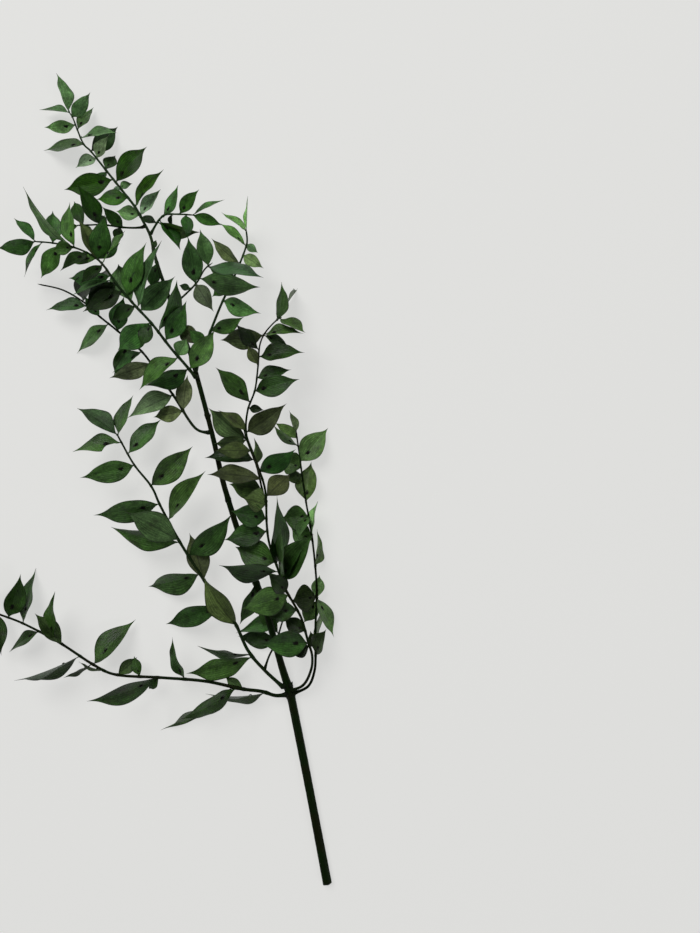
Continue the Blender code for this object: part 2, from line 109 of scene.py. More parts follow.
# Turns of pitch and roll that a leaf tries, the smallest first, until it lies clear of its neighbours.
# They are in degrees, and a leaf that is seen edge-on rolls less. ROLL_COST weighs roll against pitch.
PITCH_TURNS = (0, 8, -8, 16, -16, 24, -24, 32, -32, 40, -40)
ROLL_TURNS = (0, 25, -25, 50, -50)
ROLL_COST = 0.6

# The finer leaf. Rows run from root to tip, a little closer at both ends, and columns from side to side,
# two to a vein. Spans are shares of the length, and the torn leaf's notch opens and closes over its own
FINE_ROWS = 26
ROW_CROWDING = 0.25
VEINS_A_SIDE = 6
BLADE_HALF_THICKNESS = 0.15
STALK_HALF_THICKNESS = 0.4
STALK_HALF_WIDTH = 0.45
LEAST_HALF_WIDTH = 0.03
MIDRIB_HEIGHT = 0.16
VEIN_HEIGHT = 0.05
BLADE_START = 0.03
BLADE_TAPER = 1.28
TIP_TAPER = 0.45
TIP_START = 0.7
OPENING_SPAN = (0.02, 0.2)
TORN_SPAN = (0.06, 0.13, 0.33, 0.37)
TORN_DEPTH = 0.8

# How much wider the finer leaf is than the solid one. The crowded stretch of a branch, where that may be
# more, goes up to CROWDED_REACH, and a blade that looks too narrow or wide from above is corrected
WIDTH_GAIN = 1.07
CROWDED_REACH = 200
WIDTH_LEEWAY = (0.5, 1.25)

# How much finer leaves differ, in the order that the seeded draw takes
LOOKS_SEED = 900
CHARACTER_RANGES = {
    "peak": (0.38, 0.47), "lop": (-0.07, 0.07), "sweep": (-0.05, 0.05), "cup": (-0.25, 0.45),
    "waves": (1.2, 2.4), "wave_size": (0.008, 0.026), "phase": (0, math.tau),
    "tip_bend": (-0.05, 0.03), "bud": (0.23, 0.31), "shade": (0.76, 1.26), "warmth": (-0.07, 0.10),
    "stain": (0.5, 1.0), "twist": (-0.45, 0.45), "crease": (0.0, 0.22),
}
PALE_CUP_RANGE = (0.25, 0.75)

# Buds, with their papery scales as turn and colour. They shrink with leaves shorter than FULL_LEAF, and
# leaves near a branch's tip have none: NO_BUD is a distance at which nothing is stained. One half of a
# blade is painted lighter than the other by PAINTED_FOLD_SHADE, as painted shade of its fold under the
# light
BUD_LENGTH = 2.3
BUD_FREE_TIP = 7.0
NO_BUD = 99.0
FULL_LEAF = 34.0
BUD_COLOUR = (0.006, 0.006, 0.004)
BUD_SCALES = ((0.8, (0.022, 0.020, 0.009)), (-0.7, (0.014, 0.013, 0.006)))
DROP_RINGS = 7
DROP_SIDES = 8
PAINTED_FOLD_SHADE = 0.24

# The finer wood: its rings lie WOOD_STEP apart, and its ridges run lengthwise. It is more slender than
# the solids' above the knuckle, and again on the leading shoot, which is partly green
WOOD_STEP = 1.6
STEM_SIDES = 24
BRANCH_SIDES = 12
SLENDER_SHARE = 0.16
SLENDER_REACH = 30.0
SHOOT_START = 430.0
SHOOT_REACH = 90.0
SHOOT_SLENDER_SHARE = 0.16
SHOOT_GREEN = 0.5
RIDGES = 6
RIDGE_SHARE = 0.05
ROUGH_SHARE = 0.02
NODE_SWELLING = 0.22
COLLAR_SWELLING = 0.75
COLLAR_REACH = 2.2
LARGEST_SWELLING = 0.9
END_TAPER = 3.0
END_SHARE = 0.25
SCALE_LENGTHS = (1.6, 2.8)
LEAST_SEAT_HEIGHT = 1.0

# The cut end, with its rings as shares of the radius, and the small swellings of the bare stem, each as
# its distance from the cut end and its size as a share of the radius, with dry bracts round it
CUT_SLANT = 2.0
CUT_RINGS = (0.15, 0.3, 0.5, 0.7, 0.9, 1.0)
STEM_KNOBS = ((151, 0.35), (157, 0.25), (248, 0.2), (310, 0.12), (374, 0.2), (442, 0.2), (503, 0.3))
KNOB_BRACTS = 5

# The surface reaches far past the picture. Lamps: name, place in metres, width in metres, watts, colour
FLOOR_REACH = 6.0
FLOOR_COLOUR = (0.34, 0.34, 0.33)
FLOOR_GLOW = 0.57
WORLD_STRENGTH = 0.10
LAMPS = (
    ("soft_key", (-0.9, 2.0, 2.7), 2.2, 60.0, (1.0, 0.995, 0.98)),
    ("soft_side", (1.6, -1.2, 1.8), 1.0, 6.0, (0.97, 0.985, 1.0)),
)

# Colours of the materials. The bark's two are mixed in patches
DRY_TIP_COLOUR = (0.030, 0.026, 0.014)
BLOTCH_COLOUR = (0.035, 0.030, 0.014)
STAIN_COLOUR = (0.004, 0.006, 0.002)
BARK_COLOURS = ((0.0045, 0.015, 0.0015), (0.008, 0.011, 0.002))
GREEN_BARK_COLOUR = (0.026, 0.066, 0.020)
SPECK_COLOUR = (0.07, 0.062, 0.045)
SWELLING_COLOUR = (0.007, 0.008, 0.005)
PITH_COLOUR = (0.10, 0.075, 0.04)
CUT_COLOUR = (0.34, 0.27, 0.15)
CUT_RIM_COLOUR = (0.035, 0.04, 0.02)

# What shows of each leaf from above: a face with its bud, or the paler, duller back, with its colour
LOOKS = {
    "bright": ("face", (0.034, 0.125, 0.005)),
    "light": ("face", (0.150, 0.350, 0.100)),
    "pale": ("face", (0.345, 0.560, 0.265)),
    "vivid": ("face", (0.240, 0.540, 0.160)),
    "mid": ("face", (0.060, 0.143, 0.033)),
    "dark": ("face", (0.036, 0.100, 0.020)),
    # The black look is partly the dark colour of dried leaves and partly painted shade, for leaves that lie
    # behind and under others
    "black": ("face", (0.012, 0.032, 0.005)),
    "grey": ("back", (0.071, 0.138, 0.052)),
    "olive": ("back", (0.090, 0.140, 0.042)),
    "brown": ("back", (0.072, 0.098, 0.036)),
    "torn": ("face", (0.060, 0.143, 0.033)),
}

# Each branch: what it grows from, its radius at the base, how much its leaves' red, green and blue are
# scaled, which makes some branches lighter or darker than others, its route from base to tip as (x, y, z)
# from the knuckle, and its leaves in the order that they grow. A leaf is its distance along the wood, its
# heading in plan, where 90 points to +Y, its length and width as seen from above, and its look. Then, for
# some, how stout or green the wood is and how much wider than the solid ones the blades of its crowded
# stretch are
BRANCHES = {}


def grow(name, parent, radius, tint, route, leaves, girth=1.0, green=0.0, crowded_gain=WIDTH_GAIN):
    """Enters a branch in the table."""
    BRANCHES[name] = {
        "grows_from": parent, "radius": radius, "tint": tint, "route": route, "leaves": leaves,
        "girth": girth, "green": green, "crowded_gain": crowded_gain,
    }


grow("main_stem", None, KNUCKLE_RADIUS, (0.92, 0.88, 1.0), [
    (29, -149, 3.5), (15, -75, 4), (5, -24, 4.5), (0, 0, 5), (-5, 17, 7), (-10, 36, 10), (-20, 74, 15),
    (-29, 97, 18), (-36, 120, 20), (-42, 140, 22), (-49, 165, 24), (-54, 189, 26), (-59, 210, 27),
    (-66, 237, 28), (-72, 258, 28), (-79, 276, 28), (-91, 308, 27), (-99, 331, 25), (-103, 347, 23),
    (-109, 359, 21), (-116, 371, 19), (-127, 385, 17), (-139, 400, 15), (-151, 415, 13), (-157, 421, 12),
    (-162, 432, 11), (-166, 442, 10), (-170, 448, 9),
], [
    (243, 250, 34, 10, "dark"), (443, 320, 21, 12, "olive"), (495, 255, 20, 10, "dark"),
    (506, 70, 7, 4, "dark"), (535, 50, 25, 10, "pale"), (535, 170, 19, 11, "light"),
    (543, 50, 34, 12, "bright"), (552, 182, 24, 12, "bright"), (561, 190, 7, 4, "pale"),
    (563, 20, 10, 6, "light"), (568, 44, 34, 16, "bright"), (571, 192, 38, 14, "bright"),
    (579, 225, 18, 8, "dark"), (581, 68, 15, 10, "dark"), (593, 50, 18, 10, "pale"),
    (593, 215, 16, 10, "pale"), (600, 50, 30, 11, "dark"), (608, 179, 36, 13, "mid"),
    (614, 0, 31, 11, "light"), (621, 66, 24, 10, "mid"), (625, 189, 23, 7, "vivid"),
    (632, 43, 23, 7, "light"), (638, 170, 24, 7, "light"), (639, 106, 29, 7, "light"),
])
grow("low_left_branch", "main_stem", BRANCH_RADIUS, (0.64, 0.68, 0.46), [
    (-1, -1, 5), (-11, -1, 8), (-21, 3, 11), (-37, 6, 14), (-64, 12, 15), (-98, 15, 16), (-130, 17, 16),
    (-147, 24, 16), (-174, 41, 15), (-202, 55, 13), (-221, 62, 12), (-239, 68, 10), (-253, 73, 9),
], [
    (18, 186, 47, 9, "grey"), (36, 150, 17, 8, "grey"), (41, 204, 44, 13, "dark"), (44, 217, 71, 12, "mid"),
    (81, 110, 33, 10, "dark"), (101, 230, 14, 7, "dark"), (102, 199, 43, 15, "mid"),
    (115, 110, 16, 8, "dark"), (132, 40, 18, 10, "grey"), (143, 170, 21, 5, "grey"),
    (152, 48, 43, 15, "mid"), (153, 205, 20, 4, "grey"), (164, 205, 52, 6, "grey"),
    (180, 126, 31, 9, "grey"), (188, 85, 38, 12, "mid"), (201, 210, 29, 8, "dark"),
    (215, 82, 41, 13, "dark"), (227, 69, 36, 12, "dark"), (239, 80, 33, 10, "mid"),
    (242, 295, 33, 9, "dark"), (255, 110, 40, 11, "mid"), (259, 230, 35, 10, "dark"),
    (267, 160, 39, 9, "mid"),
], girth=1.25)
grow("left_branch", "main_stem", BRANCH_RADIUS, (1.06, 1.1, 0.95), [
    (-1, 1, 6), (-19, 20, 13), (-31, 36, 17), (-41, 58, 19), (-55, 77, 20), (-67, 95, 21), (-82, 119, 21),
    (-96, 145, 21), (-103, 160, 21), (-116, 176, 20), (-126, 193, 19), (-130, 200, 18),
], [
    (41, 198, 50, 17, "mid"), (43, 176, 39, 9, "dark"), (68, 125, 46, 18, "olive"),
    (86, 199, 53, 15, "dark"), (110, 108, 38, 15, "brown"), (116, 194, 46, 17, "mid"),
    (132, 40, 45, 16, "mid"), (144, 171, 57, 15, "dark"), (146, 145, 40, 19, "grey"),
    (163, 56, 47, 15, "mid"), (177, 190, 44, 16, "mid"), (192, 46, 42, 16, "mid"),
    (212, 195, 39, 15, "mid"), (222, 47, 36, 14, "mid"), (232, 188, 36, 12, "torn"),
    (240, 75, 33, 12, "mid"), (240, 145, 37, 11, "grey"),
], girth=1.28, green=0.2)
grow("left_fork", "left_branch", TWIG_RADIUS, (1.15, 1.25, 1.1), [
    (-19, 20, 12), (-16, 29, 7), (-11, 39, 4.5), (-6, 55, 4), (-1, 70, 5),
], [
    (23, 175, 31, 14, "black"), (29, 125, 28, 11, "dark"), (41, 190, 39, 10, "dark"),
    (54, 150, 19, 9, "dark"),
])
grow("middle_left_branch", "main_stem", BRANCH_RADIUS, (1.8, 1.7, 2.0), [
    (-58, 200, 26), (-67, 202, 24), (-74, 209, 22), (-86, 227, 18), (-100, 246, 14), (-113, 263, 11),
    (-132, 279, 9), (-147, 291, 8), (-158, 301, 7), (-175, 311, 6), (-195, 316, 5),
], [
    (29, 86, 28, 12, "brown"), (29, 190, 25, 12, "olive"), (44, 206, 36, 15, "grey"),
    (75, 200, 33, 11, "brown"), (87, 215, 28, 9, "dark"), (100, 240, 30, 10, "dark"),
    (112, 75, 26, 14, "dark"), (121, 217, 35, 13, "dark"), (130, 125, 18, 8, "dark"),
    (143, 183, 31, 11, "dark"),
], green=0.15)
grow("high_left_branch", "main_stem", BRANCH_RADIUS, (1.45, 1.65, 1.3), [
    (-67, 240, 31), (-74, 249, 34), (-85, 262, 37), (-98, 279, 39), (-111, 293, 39), (-123, 307, 38),
    (-134, 322, 36), (-143, 330, 34), (-158, 337, 31), (-175, 341, 28), (-190, 343, 25),
], [
    (8, 55, 34, 14, "mid"), (9, 200, 38, 10, "dark"), (20, 215, 38, 14, "mid"), (21, 60, 14, 11, "grey"),
    (35, 60, 34, 12, "dark"), (43, 65, 39, 14, "dark"), (51, 245, 19, 10, "black"),
    (52, 212, 36, 16, "dark"), (63, 45, 36, 14, "grey"), (66, 65, 50, 14, "grey"),
    (68, 205, 22, 10, "black"), (72, 114, 35, 18, "grey"), (78, 70, 39, 16, "dark"),
    (83, 213, 30, 14, "black"), (91, 220, 29, 13, "black"), (94, 215, 28, 9, "grey"),
    (97, 180, 34, 10, "dark"), (103, 205, 35, 10, "black"), (108, 240, 21, 9, "black"),
    (109, 45, 29, 8, "mid"), (114, 45, 21, 9, "dark"), (114, 68, 29, 13, "dark"),
    (115, 110, 29, 9, "brown"), (115, 180, 24, 9, "mid"), (124, 232, 22, 10, "black"),
    (135, 100, 33, 12, "mid"), (136, 185, 17, 10, "mid"), (137, 131, 49, 4, "mid"),
    (146, 227, 31, 12, "mid"), (153, 97, 27, 9, "mid"), (162, 240, 29, 8, "dark"),
    (168, 195, 29, 8, "dark"), (169, 130, 23, 6, "dark"),
], green=0.3, crowded_gain=1.12)
grow("high_left_twig", "main_stem", TWIG_RADIUS, (0.62, 0.82, 0.22), [
    (-108, 355, 21), (-116, 355, 19), (-126, 356, 17), (-136, 358, 15), (-144, 359, 14), (-153, 359, 13),
    (-163, 359, 12),
], [
    (18, 135, 18, 9, "dark"), (20, 250, 12, 8, "black"), (31, 130, 12, 6, "dark"),
    (37, 110, 25, 12, "dark"), (47, 285, 8, 5, "dark"), (50, 115, 23, 10, "dark"), (55, 200, 15, 7, "mid"),
], green=0.1)
grow("top_right_twig", "main_stem", TWIG_RADIUS, (0.72, 1.05, 0.62), [
    (-103, 349, 23), (-99, 354, 26), (-95, 358, 29), (-90, 361, 31), (-80, 361, 32), (-68, 360, 33),
], [
    (10, 160, 15, 6, "black"), (11, 337, 33, 6, "olive"), (13, 308, 29, 8, "dark"),
    (17, 62, 26, 4, "light"), (24, 260, 9, 4, "black"), (30, 45, 22, 10, "mid"), (35, 275, 20, 8, "dark"),
    (42, 31, 26, 7, "mid"), (42, 344, 22, 8, "mid"),
], green=0.9)
grow("upper_right_twig", "main_stem", TWIG_RADIUS, (1.35, 1.4, 1.8), [
    (-86, 294, 28), (-75, 302, 32), (-66, 310, 35), (-60, 319, 37), (-54, 324, 37),
], [
    (20, 165, 9, 5, "black"), (25, 97, 33, 14, "dark"), (25, 305, 25, 12, "brown"),
    (30, 345, 45, 12, "mid"), (41, 101, 25, 11, "mid"), (41, 330, 26, 11, "mid"), (41, 345, 43, 13, "dark"),
], green=0.4)
grow("upper_right_branch", "main_stem", TWIG_RADIUS, (2.1, 2.15, 2.1), [
    (-68, 245, 31), (-62, 261, 31), (-55, 280, 30), (-49, 296, 28), (-42, 312, 26), (-36, 327, 24),
    (-32, 339, 22), (-31, 345, 21), (-32, 354, 20),
], [
    (21, 135, 16, 9, "dark"), (32, 20, 27, 9, "dark"), (57, 334, 30, 11, "mid"), (72, 215, 18, 9, "dark"),
    (88, 140, 27, 8, "brown"), (95, 326, 19, 9, "olive"), (103, 140, 23, 7, "mid"),
    (104, 325, 11, 6, "grey"), (115, 84, 23, 3, "light"), (115, 140, 25, 6, "mid"),
], girth=1.25, green=0.5)
grow("right_branch", "main_stem", BRANCH_RADIUS, (0.86, 0.86, 0.74), [
    (0, 2, 7), (11, 9, 14), (17, 22, 20), (18, 34, 25), (15, 46, 29), (11, 62, 33), (6, 73, 36),
    (-1, 86, 38), (-7, 103, 40), (-12, 118, 41), (-14, 133, 42), (-15, 157, 42), (-20, 174, 42),
    (-25, 187, 42), (-29, 200, 42), (-28, 216, 40), (-23, 231, 38), (-21, 249, 36), (-20, 264, 34),
    (-16, 274, 32), (-8, 283, 31), (-4, 285, 31),
], [
    (52, 200, 16, 10, "black"), (54, 175, 35, 15, "dark"), (64, 150, 19, 10, "black"),
    (82, 180, 28, 12, "dark"), (95, 194, 33, 17, "mid"), (97, 130, 20, 10, "black"),
    (101, 140, 18, 7, "grey"), (107, 55, 42, 16, "mid"), (108, 60, 29, 9, "dark"), (109, 90, 44, 6, "mid"),
    (114, 170, 41, 13, "dark"), (119, 90, 51, 8, "dark"), (121, 160, 33, 18, "dark"),
    (145, 190, 32, 14, "dark"), (154, 165, 26, 14, "dark"), (164, 160, 17, 14, "olive"),
    (170, 45, 25, 13, "brown"), (183, 170, 37, 10, "brown"), (205, 180, 24, 12, "olive"),
    (219, 31, 35, 15, "brown"), (220, 140, 25, 8, "olive"), (237, 350, 11, 6, "black"),
    (241, 130, 33, 13, "dark"), (250, 15, 33, 15, "dark"), (260, 15, 26, 10, "dark"),
    (270, 120, 16, 8, "brown"), (276, 6, 33, 13, "dark"), (281, 135, 26, 9, "black"),
    (293, 185, 36, 14, "olive"), (293, 340, 21, 8, "dark"), (294, 5, 28, 8, "mid"), (308, 75, 26, 7, "mid"),
    (312, 75, 33, 7, "mid"), (312, 325, 24, 9, "mid"),
], crowded_gain=1.25)
grow("right_fork", "right_branch", TWIG_RADIUS, (1.05, 1.3, 1.0), [
    (-15, 147, 41), (-18, 159, 38), (-22, 175, 35), (-27, 187, 32), (-31, 198, 30), (-34, 211, 29),
], [
    (12, 170, 25, 14, "olive"), (25, 30, 32, 12, "dark"), (30, 95, 21, 4, "olive"),
    (35, 175, 37, 12, "black"), (51, 140, 37, 14, "brown"), (51, 185, 25, 10, "brown"),
], crowded_gain=1.2)
grow("far_right_branch", "main_stem", BRANCH_RADIUS, (2.0, 1.65, 1.75), [
    (1, -1, 5), (14, 6, 8), (19, 18, 10), (20, 31, 11), (20, 54, 12), (21, 77, 12), (20, 96, 12),
    (17, 123, 11), (13, 146, 11), (10, 165, 10), (8, 181, 10), (6, 195, 10), (5, 203, 10),
], [
    (41, 70, 24, 8, "black"), (41, 85, 38, 4, "mid"), (45, 110, 15, 6, "black"), (83, 240, 21, 10, "mid"),
    (85, 85, 17, 8, "light"), (85, 295, 32, 7, "dark"), (86, 190, 20, 15, "black"), (109, 80, 28, 4, "mid"),
    (129, 150, 20, 12, "dark"), (133, 80, 27, 4, "light"), (148, 185, 21, 15, "dark"),
    (148, 240, 15, 6, "dark"), (159, 85, 32, 13, "mid"), (180, 195, 14, 8, "black"),
    (185, 155, 17, 14, "dark"), (190, 50, 34, 15, "mid"), (202, 140, 24, 6, "dark"),
    (208, 140, 21, 8, "mid"), (213, 105, 18, 5, "grey"),
], crowded_gain=1.3)


def smooth_route(points):
    """Closely spaced points on a smooth curve through the given points."""
    padded = [points[0] * 2 - points[1]] + points + [points[-1] * 2 - points[-2]]
    fine = []
    for i in range(len(points) - 1):
        before, start, end, after = padded[i:i + 4]
        pieces = max(1, round((end - start).length / ROUTE_STEP))
        for k in range(pieces):
            t = k / pieces
            fine.append(
                0.5 * (2 * start + (end - before) * t
                       + (2 * before - 5 * start + 4 * end - after) * t ** 2
                       + (3 * start - before - 3 * end + after) * t ** 3)
            )
    return fine + [points[-1]]


def even_route(points, step):
    """The same polyline with points at an even distance."""
    total = route_length(points)
    pieces = max(2, round(total / step))
    return [point_along(points, total * k / pieces) for k in range(pieces + 1)]


def route_length(points):
    """Length of a polyline."""
    return sum((b - a).length for a, b in zip(points, points[1:]))


def point_along(points, distance):
    """The point at a distance along a polyline."""
    for a, b in zip(points, points[1:]):
        length = (b - a).length
        if distance <= length:
            return a.lerp(b, distance / length)
        distance -= length
    return points[-1].copy()


def nearest_along(points, place):
    """The nearest point of a polyline, and how far along it lies."""
    best, along = None, 0.0
    for a, b in zip(points, points[1:]):
        step = b - a
        share = min(1.0, max(0.0, (place - a).dot(step) / step.length_squared))
        point = a + step * share
        if best is None or (point - place).length < best[0]:
            best = ((point - place).length, point, along + share * step.length)
        along += step.length
    return best[1:]


def wood_radius(branch, distance, total):
    """Radius of the wood at a distance from its base. The main stem hardly tapers up to its knuckle."""
    tip = BRANCH_TIP_RADIUS
    if branch["grows_from"] is None:
        if distance < LOWER_STEM:
            return CUT_END_RADIUS + (KNUCKLE_RADIUS - CUT_END_RADIUS) * distance / LOWER_STEM
        distance -= LOWER_STEM
        total -= LOWER_STEM
        tip = STEM_TIP_RADIUS
    return tip + (branch["radius"] - tip) * max(0.0, 1 - distance / total) ** TAPER_POWER


def whole_route(name):
    """A branch's route as closely spaced points."""
    return smooth_route([Vector(point) for point in BRANCHES[name]["route"]])


def bones(name, parent_tree):
    """The wood's centre line from just outside its parent's bark, and how much of its route that omits."""
    route = whole_route(name)
    if parent_tree is None:
        return even_route(route, STEM_STEP), 0.0
    start = 0.0
    while bark_gap(route, start, BRANCHES[name]["radius"], parent_tree) < JOINT_GAP:
        start += START_STEP
    return even_route(route_from(route, start), BRANCH_STEP), start


def bark_gap(route, start, radius, parent_tree):
    """Gap between the parent's bark and the round end of a branch that starts part-way along its route."""
    centre = point_along(route, start)
    ahead = (point_along(route, start + ROUTE_STEP) - centre).normalized()
    nearest, normal, _, distance = parent_tree.find_nearest(centre)
    if (centre - nearest).dot(normal) < 0:
        return -distance
    return distance - radius * math.sqrt(max(0.0, 1 - ahead.dot(normal) ** 2))


def route_from(route, start):
    """The rest of a polyline from a distance along it."""
    rest = [point_along(route, start)]
    for a, b in zip(route, route[1:]):
        start -= (b - a).length
        if start < 0:
            rest.append(b)
    return rest


def put(name, data):
    """A new object in the scene."""
    thing = bpy.data.objects.new(name, data)
    bpy.context.scene.collection.objects.link(thing)
    return thing


def tube_tree(name, points):
    """A search tree of the solids' own tapered tube, which the leaves keep clear of."""
    branch = BRANCHES[name]
    total = route_length(points)
    data = bpy.data.curves.new(name, "CURVE")
    data.dimensions = "3D"
    data.bevel_depth = MM
    data.bevel_resolution = 2 if branch["grows_from"] is None else 1
    data.use_fill_caps = True
    spline = data.splines.new("POLY")
    spline.points.add(len(points) - 1)
    for i, point in enumerate(points):
        spline.points[i].co = (*(point * MM), 1.0)
        spline.points[i].radius = wood_radius(branch, total * i / (len(points) - 1), total)
    tube = put(name + "_tube", data)
    mesh = bpy.data.meshes.new_from_object(tube.evaluated_get(bpy.context.evaluated_depsgraph_get()))
    bpy.data.objects.remove(tube, do_unlink=True)
    work = bmesh.new()
    work.from_mesh(mesh)
    bmesh.ops.remove_doubles(work, verts=work.verts, dist=1e-6)
    bmesh.ops.recalc_face_normals(work, faces=work.faces)
    work.to_mesh(mesh)
    work.free()
    faces = [tuple(p.vertices) for p in mesh.polygons]
    tree = BVHTree.FromPolygons([v.co / MM for v in mesh.vertices], faces)
    bpy.data.meshes.remove(mesh)
    return tree


def outline(t):
    """Half width of a solid leaf at a share of its length, as a share of its widest."""
    blade = max(0.0, (t - PETIOLE_END) / (1 - PETIOLE_END))
    peak = OUTLINE_RISE / (OUTLINE_RISE + OUTLINE_FALL)
    widest = peak ** OUTLINE_RISE * (1 - peak) ** OUTLINE_FALL
    return blade ** OUTLINE_RISE * (1 - blade) ** OUTLINE_FALL / widest


def leaf_axes(leaf):
    """A leaf's directions: along it, across it and out of its upper side."""
    pitch, roll, heading = (math.radians(leaf[key]) for key in ("pitch", "roll", "heading"))
    flat = math.cos(pitch)
    ahead = Vector((math.cos(heading) * flat, math.sin(heading) * flat, math.sin(pitch)))
    level = Vector((-math.sin(heading), math.cos(heading), 0))
    upward = ahead.cross(level)
    across = level * math.cos(roll) + upward * math.sin(roll)
    face = upward * math.cos(roll) - level * math.sin(roll)
    return ahead, across, face


def leaf_rows(leaf, margin=0.0, start=0):
    """The solid leaf's cross-rows from root to tip, each as pairs of upper and lower points."""
    ahead, across, face = leaf_axes(leaf)
    thick = LEAF_THICKNESS / 2 + margin
    rows = []
    for t in LEAF_STATIONS[start:]:
        centre = leaf["root"] + ahead * (leaf["length"] * t)
        centre += face * (leaf["length"] * (leaf["curl"] * t * t + leaf["arch"] * t * (1 - t)))
        half = max(PETIOLE_HALF_WIDTH, leaf["half_width"] * outline(t)) + margin
        sides = (-1, 0, 1)
        if t <= PETIOLE_END:
            sides = (-1, 1)
        if t == LEAF_STATIONS[-1]:
            sides = (0,)
            centre += ahead * margin
        ripple = leaf["ripple"] * math.sin(math.tau * t) if len(sides) == 3 else 0.0
        row = []
        for side in sides:
            bend = half * (abs(side) * leaf["fold"] + side * ripple)
            middle = centre + across * (side * half) + face * bend
            row.append(rest_on_floor(middle + face * thick, middle - face * thick, margin))
        rows.append(row)
    return rows


def rest_on_floor(upper, lower, margin):
    """Lifts a pair of facing points so that neither is under the surface."""
    lift = Vector((0, 0, max(0.0, -margin - min(upper.z, lower.z))))
    return upper + lift, lower + lift


def leaf_faces(rows):
    """Vertices and faces of a solid leaf."""
    vertices, uppers = [], []
    for row in rows:
        uppers.append([])
        for upper, lower in row:
            uppers[-1].append(len(vertices))
            vertices.extend((upper, lower))
    faces = []
    for near, far in zip(uppers, uppers[1:]):
        for face in strip(near, far):
            faces.extend([face, tuple(i + 1 for i in reversed(face))])
        for a, b in ((near[0], far[0]), (far[-1], near[-1])):
            faces.append((a, a + 1, b + 1, b))
    for row in (uppers[0], uppers[-1][::-1]):
        for a, b in zip(row, row[1:]):
            faces.append((a, b, b + 1, a + 1))
    return vertices, faces


def strip(near, far):
    """Faces between two rows of a solid leaf's upper points, which may differ in number."""
    if len(near) == len(far) == 2:
        return [(near[0], near[1], far[1], far[0])]
    if len(near) == len(far):
        return [
            (near[0], near[1], far[1]), (near[0], far[1], far[0]),
            (near[1], near[2], far[1]), (near[2], far[2], far[1]),
        ]
    if len(far) == 1:
        return [(near[0], near[1], far[0]), (near[1], near[2], far[0])]
    return [(near[0], far[1], far[0]), (near[0], near[1], far[1]), (near[1], far[2], far[1])]


def leaf_tree(rows):
    """A search tree of a solid leaf's surface."""
    return BVHTree.FromPolygons(*leaf_faces(rows))


def hits(tree, others):
    """Whether a surface crosses any of the others."""
    return any(tree.overlap(other) for other in others)


def draw_leaf(draw, root, heading, length, width):
    """A leaf with its random draw: how it is pitched, rolled, curled and rippled."""
    return {
        "root": root,
        "heading": heading,
        "seen_length": length,
        "seen_width": width,
        "pitch": draw.uniform(*PITCH_RANGE),
        "side": draw.choice((-1, 1)),
        **{key: draw.uniform(*span) for key, span in SHAPE_RANGES.items()},
    }


def turned(leaf, pitch_turn, roll_turn):
    """The same leaf at another pitch and roll, long enough to look as long from above."""
    pitch = leaf["pitch"] + pitch_turn
    true_length = min(LEAF_LENGTH_LIMIT, leaf["seen_length"] / math.cos(math.radians(pitch)))
    true_length = max(true_length, leaf["seen_length"])
    true_width = max(leaf["seen_width"], min(LEAF_WIDTH_LIMIT, LEAF_WIDTH_SHARE * true_length))
    openness = leaf["seen_width"] / true_width
    roll = leaf["side"] * math.degrees(math.acos(openness)) + openness * roll_turn
    return {**leaf, "pitch": pitch, "roll": roll, "length": true_length, "half_width": true_width / 2}


def place_leaf(leaf, own_blades, foreign):
    """Turns the leaf until it lies clear of other branches and, if it can, of its own branch's leaves."""
    turns = [(pitch, roll) for pitch in PITCH_TURNS for roll in ROLL_TURNS]
    turns.sort(key=lambda turn: abs(turn[0]) + ROLL_COST * abs(turn[1]))
    spare = None
    for turn in turns:
        choice = turned(leaf, *turn)
        tip = choice["root"].z + choice["length"] * math.sin(math.radians(choice["pitch"]))
        if tip < DEEPEST_TIP or hits(leaf_tree(leaf_rows(choice, LEAF_CLEARANCE)), foreign):
            continue
        if not hits(leaf_tree(leaf_rows(choice, LEAF_CLEARANCE, 1)), own_blades):
            return choice
        spare = spare or choice
    return spare


def leaf_root(along, bone, left_out):
    """Where a leaf grows on the wood's centre line, a little way in from both of its ends."""
    return point_along(bone, min(max(along - left_out, ROOT_MARGIN), route_length(bone) - ROOT_MARGIN))


def lay_leaves(skeleton, wood):
    """Places every leaf of every branch, as the solids have them, and gives each the look that it shows."""
    placed = {name: [] for name in BRANCHES}
    trees = {name: [wood[name]] for name in BRANCHES}
    for number, (name, branch) in enumerate(BRANCHES.items()):
        draw = random.Random(SEED + number)
        bone, left_out = skeleton[name]
        foreign = [tree for other in BRANCHES if other != name for tree in trees[other]]
        own_blades = []
        for along, heading, length, width, look in branch["leaves"]:
            leaf = draw_leaf(draw, leaf_root(along, bone, left_out), heading, length, width)
            choice = place_leaf(leaf, own_blades, foreign)
            if choice is None:
                continue
            near_tip = route_length(bone) + left_out - along < BUD_FREE_TIP
            placed[name].append({**choice, "look": look, "along": along, "near_tip": near_tip})
            trees[name].append(leaf_tree(leaf_rows(choice)))
            own_blades.append(leaf_tree(leaf_rows(choice, 0.0, 1)))
    return placed


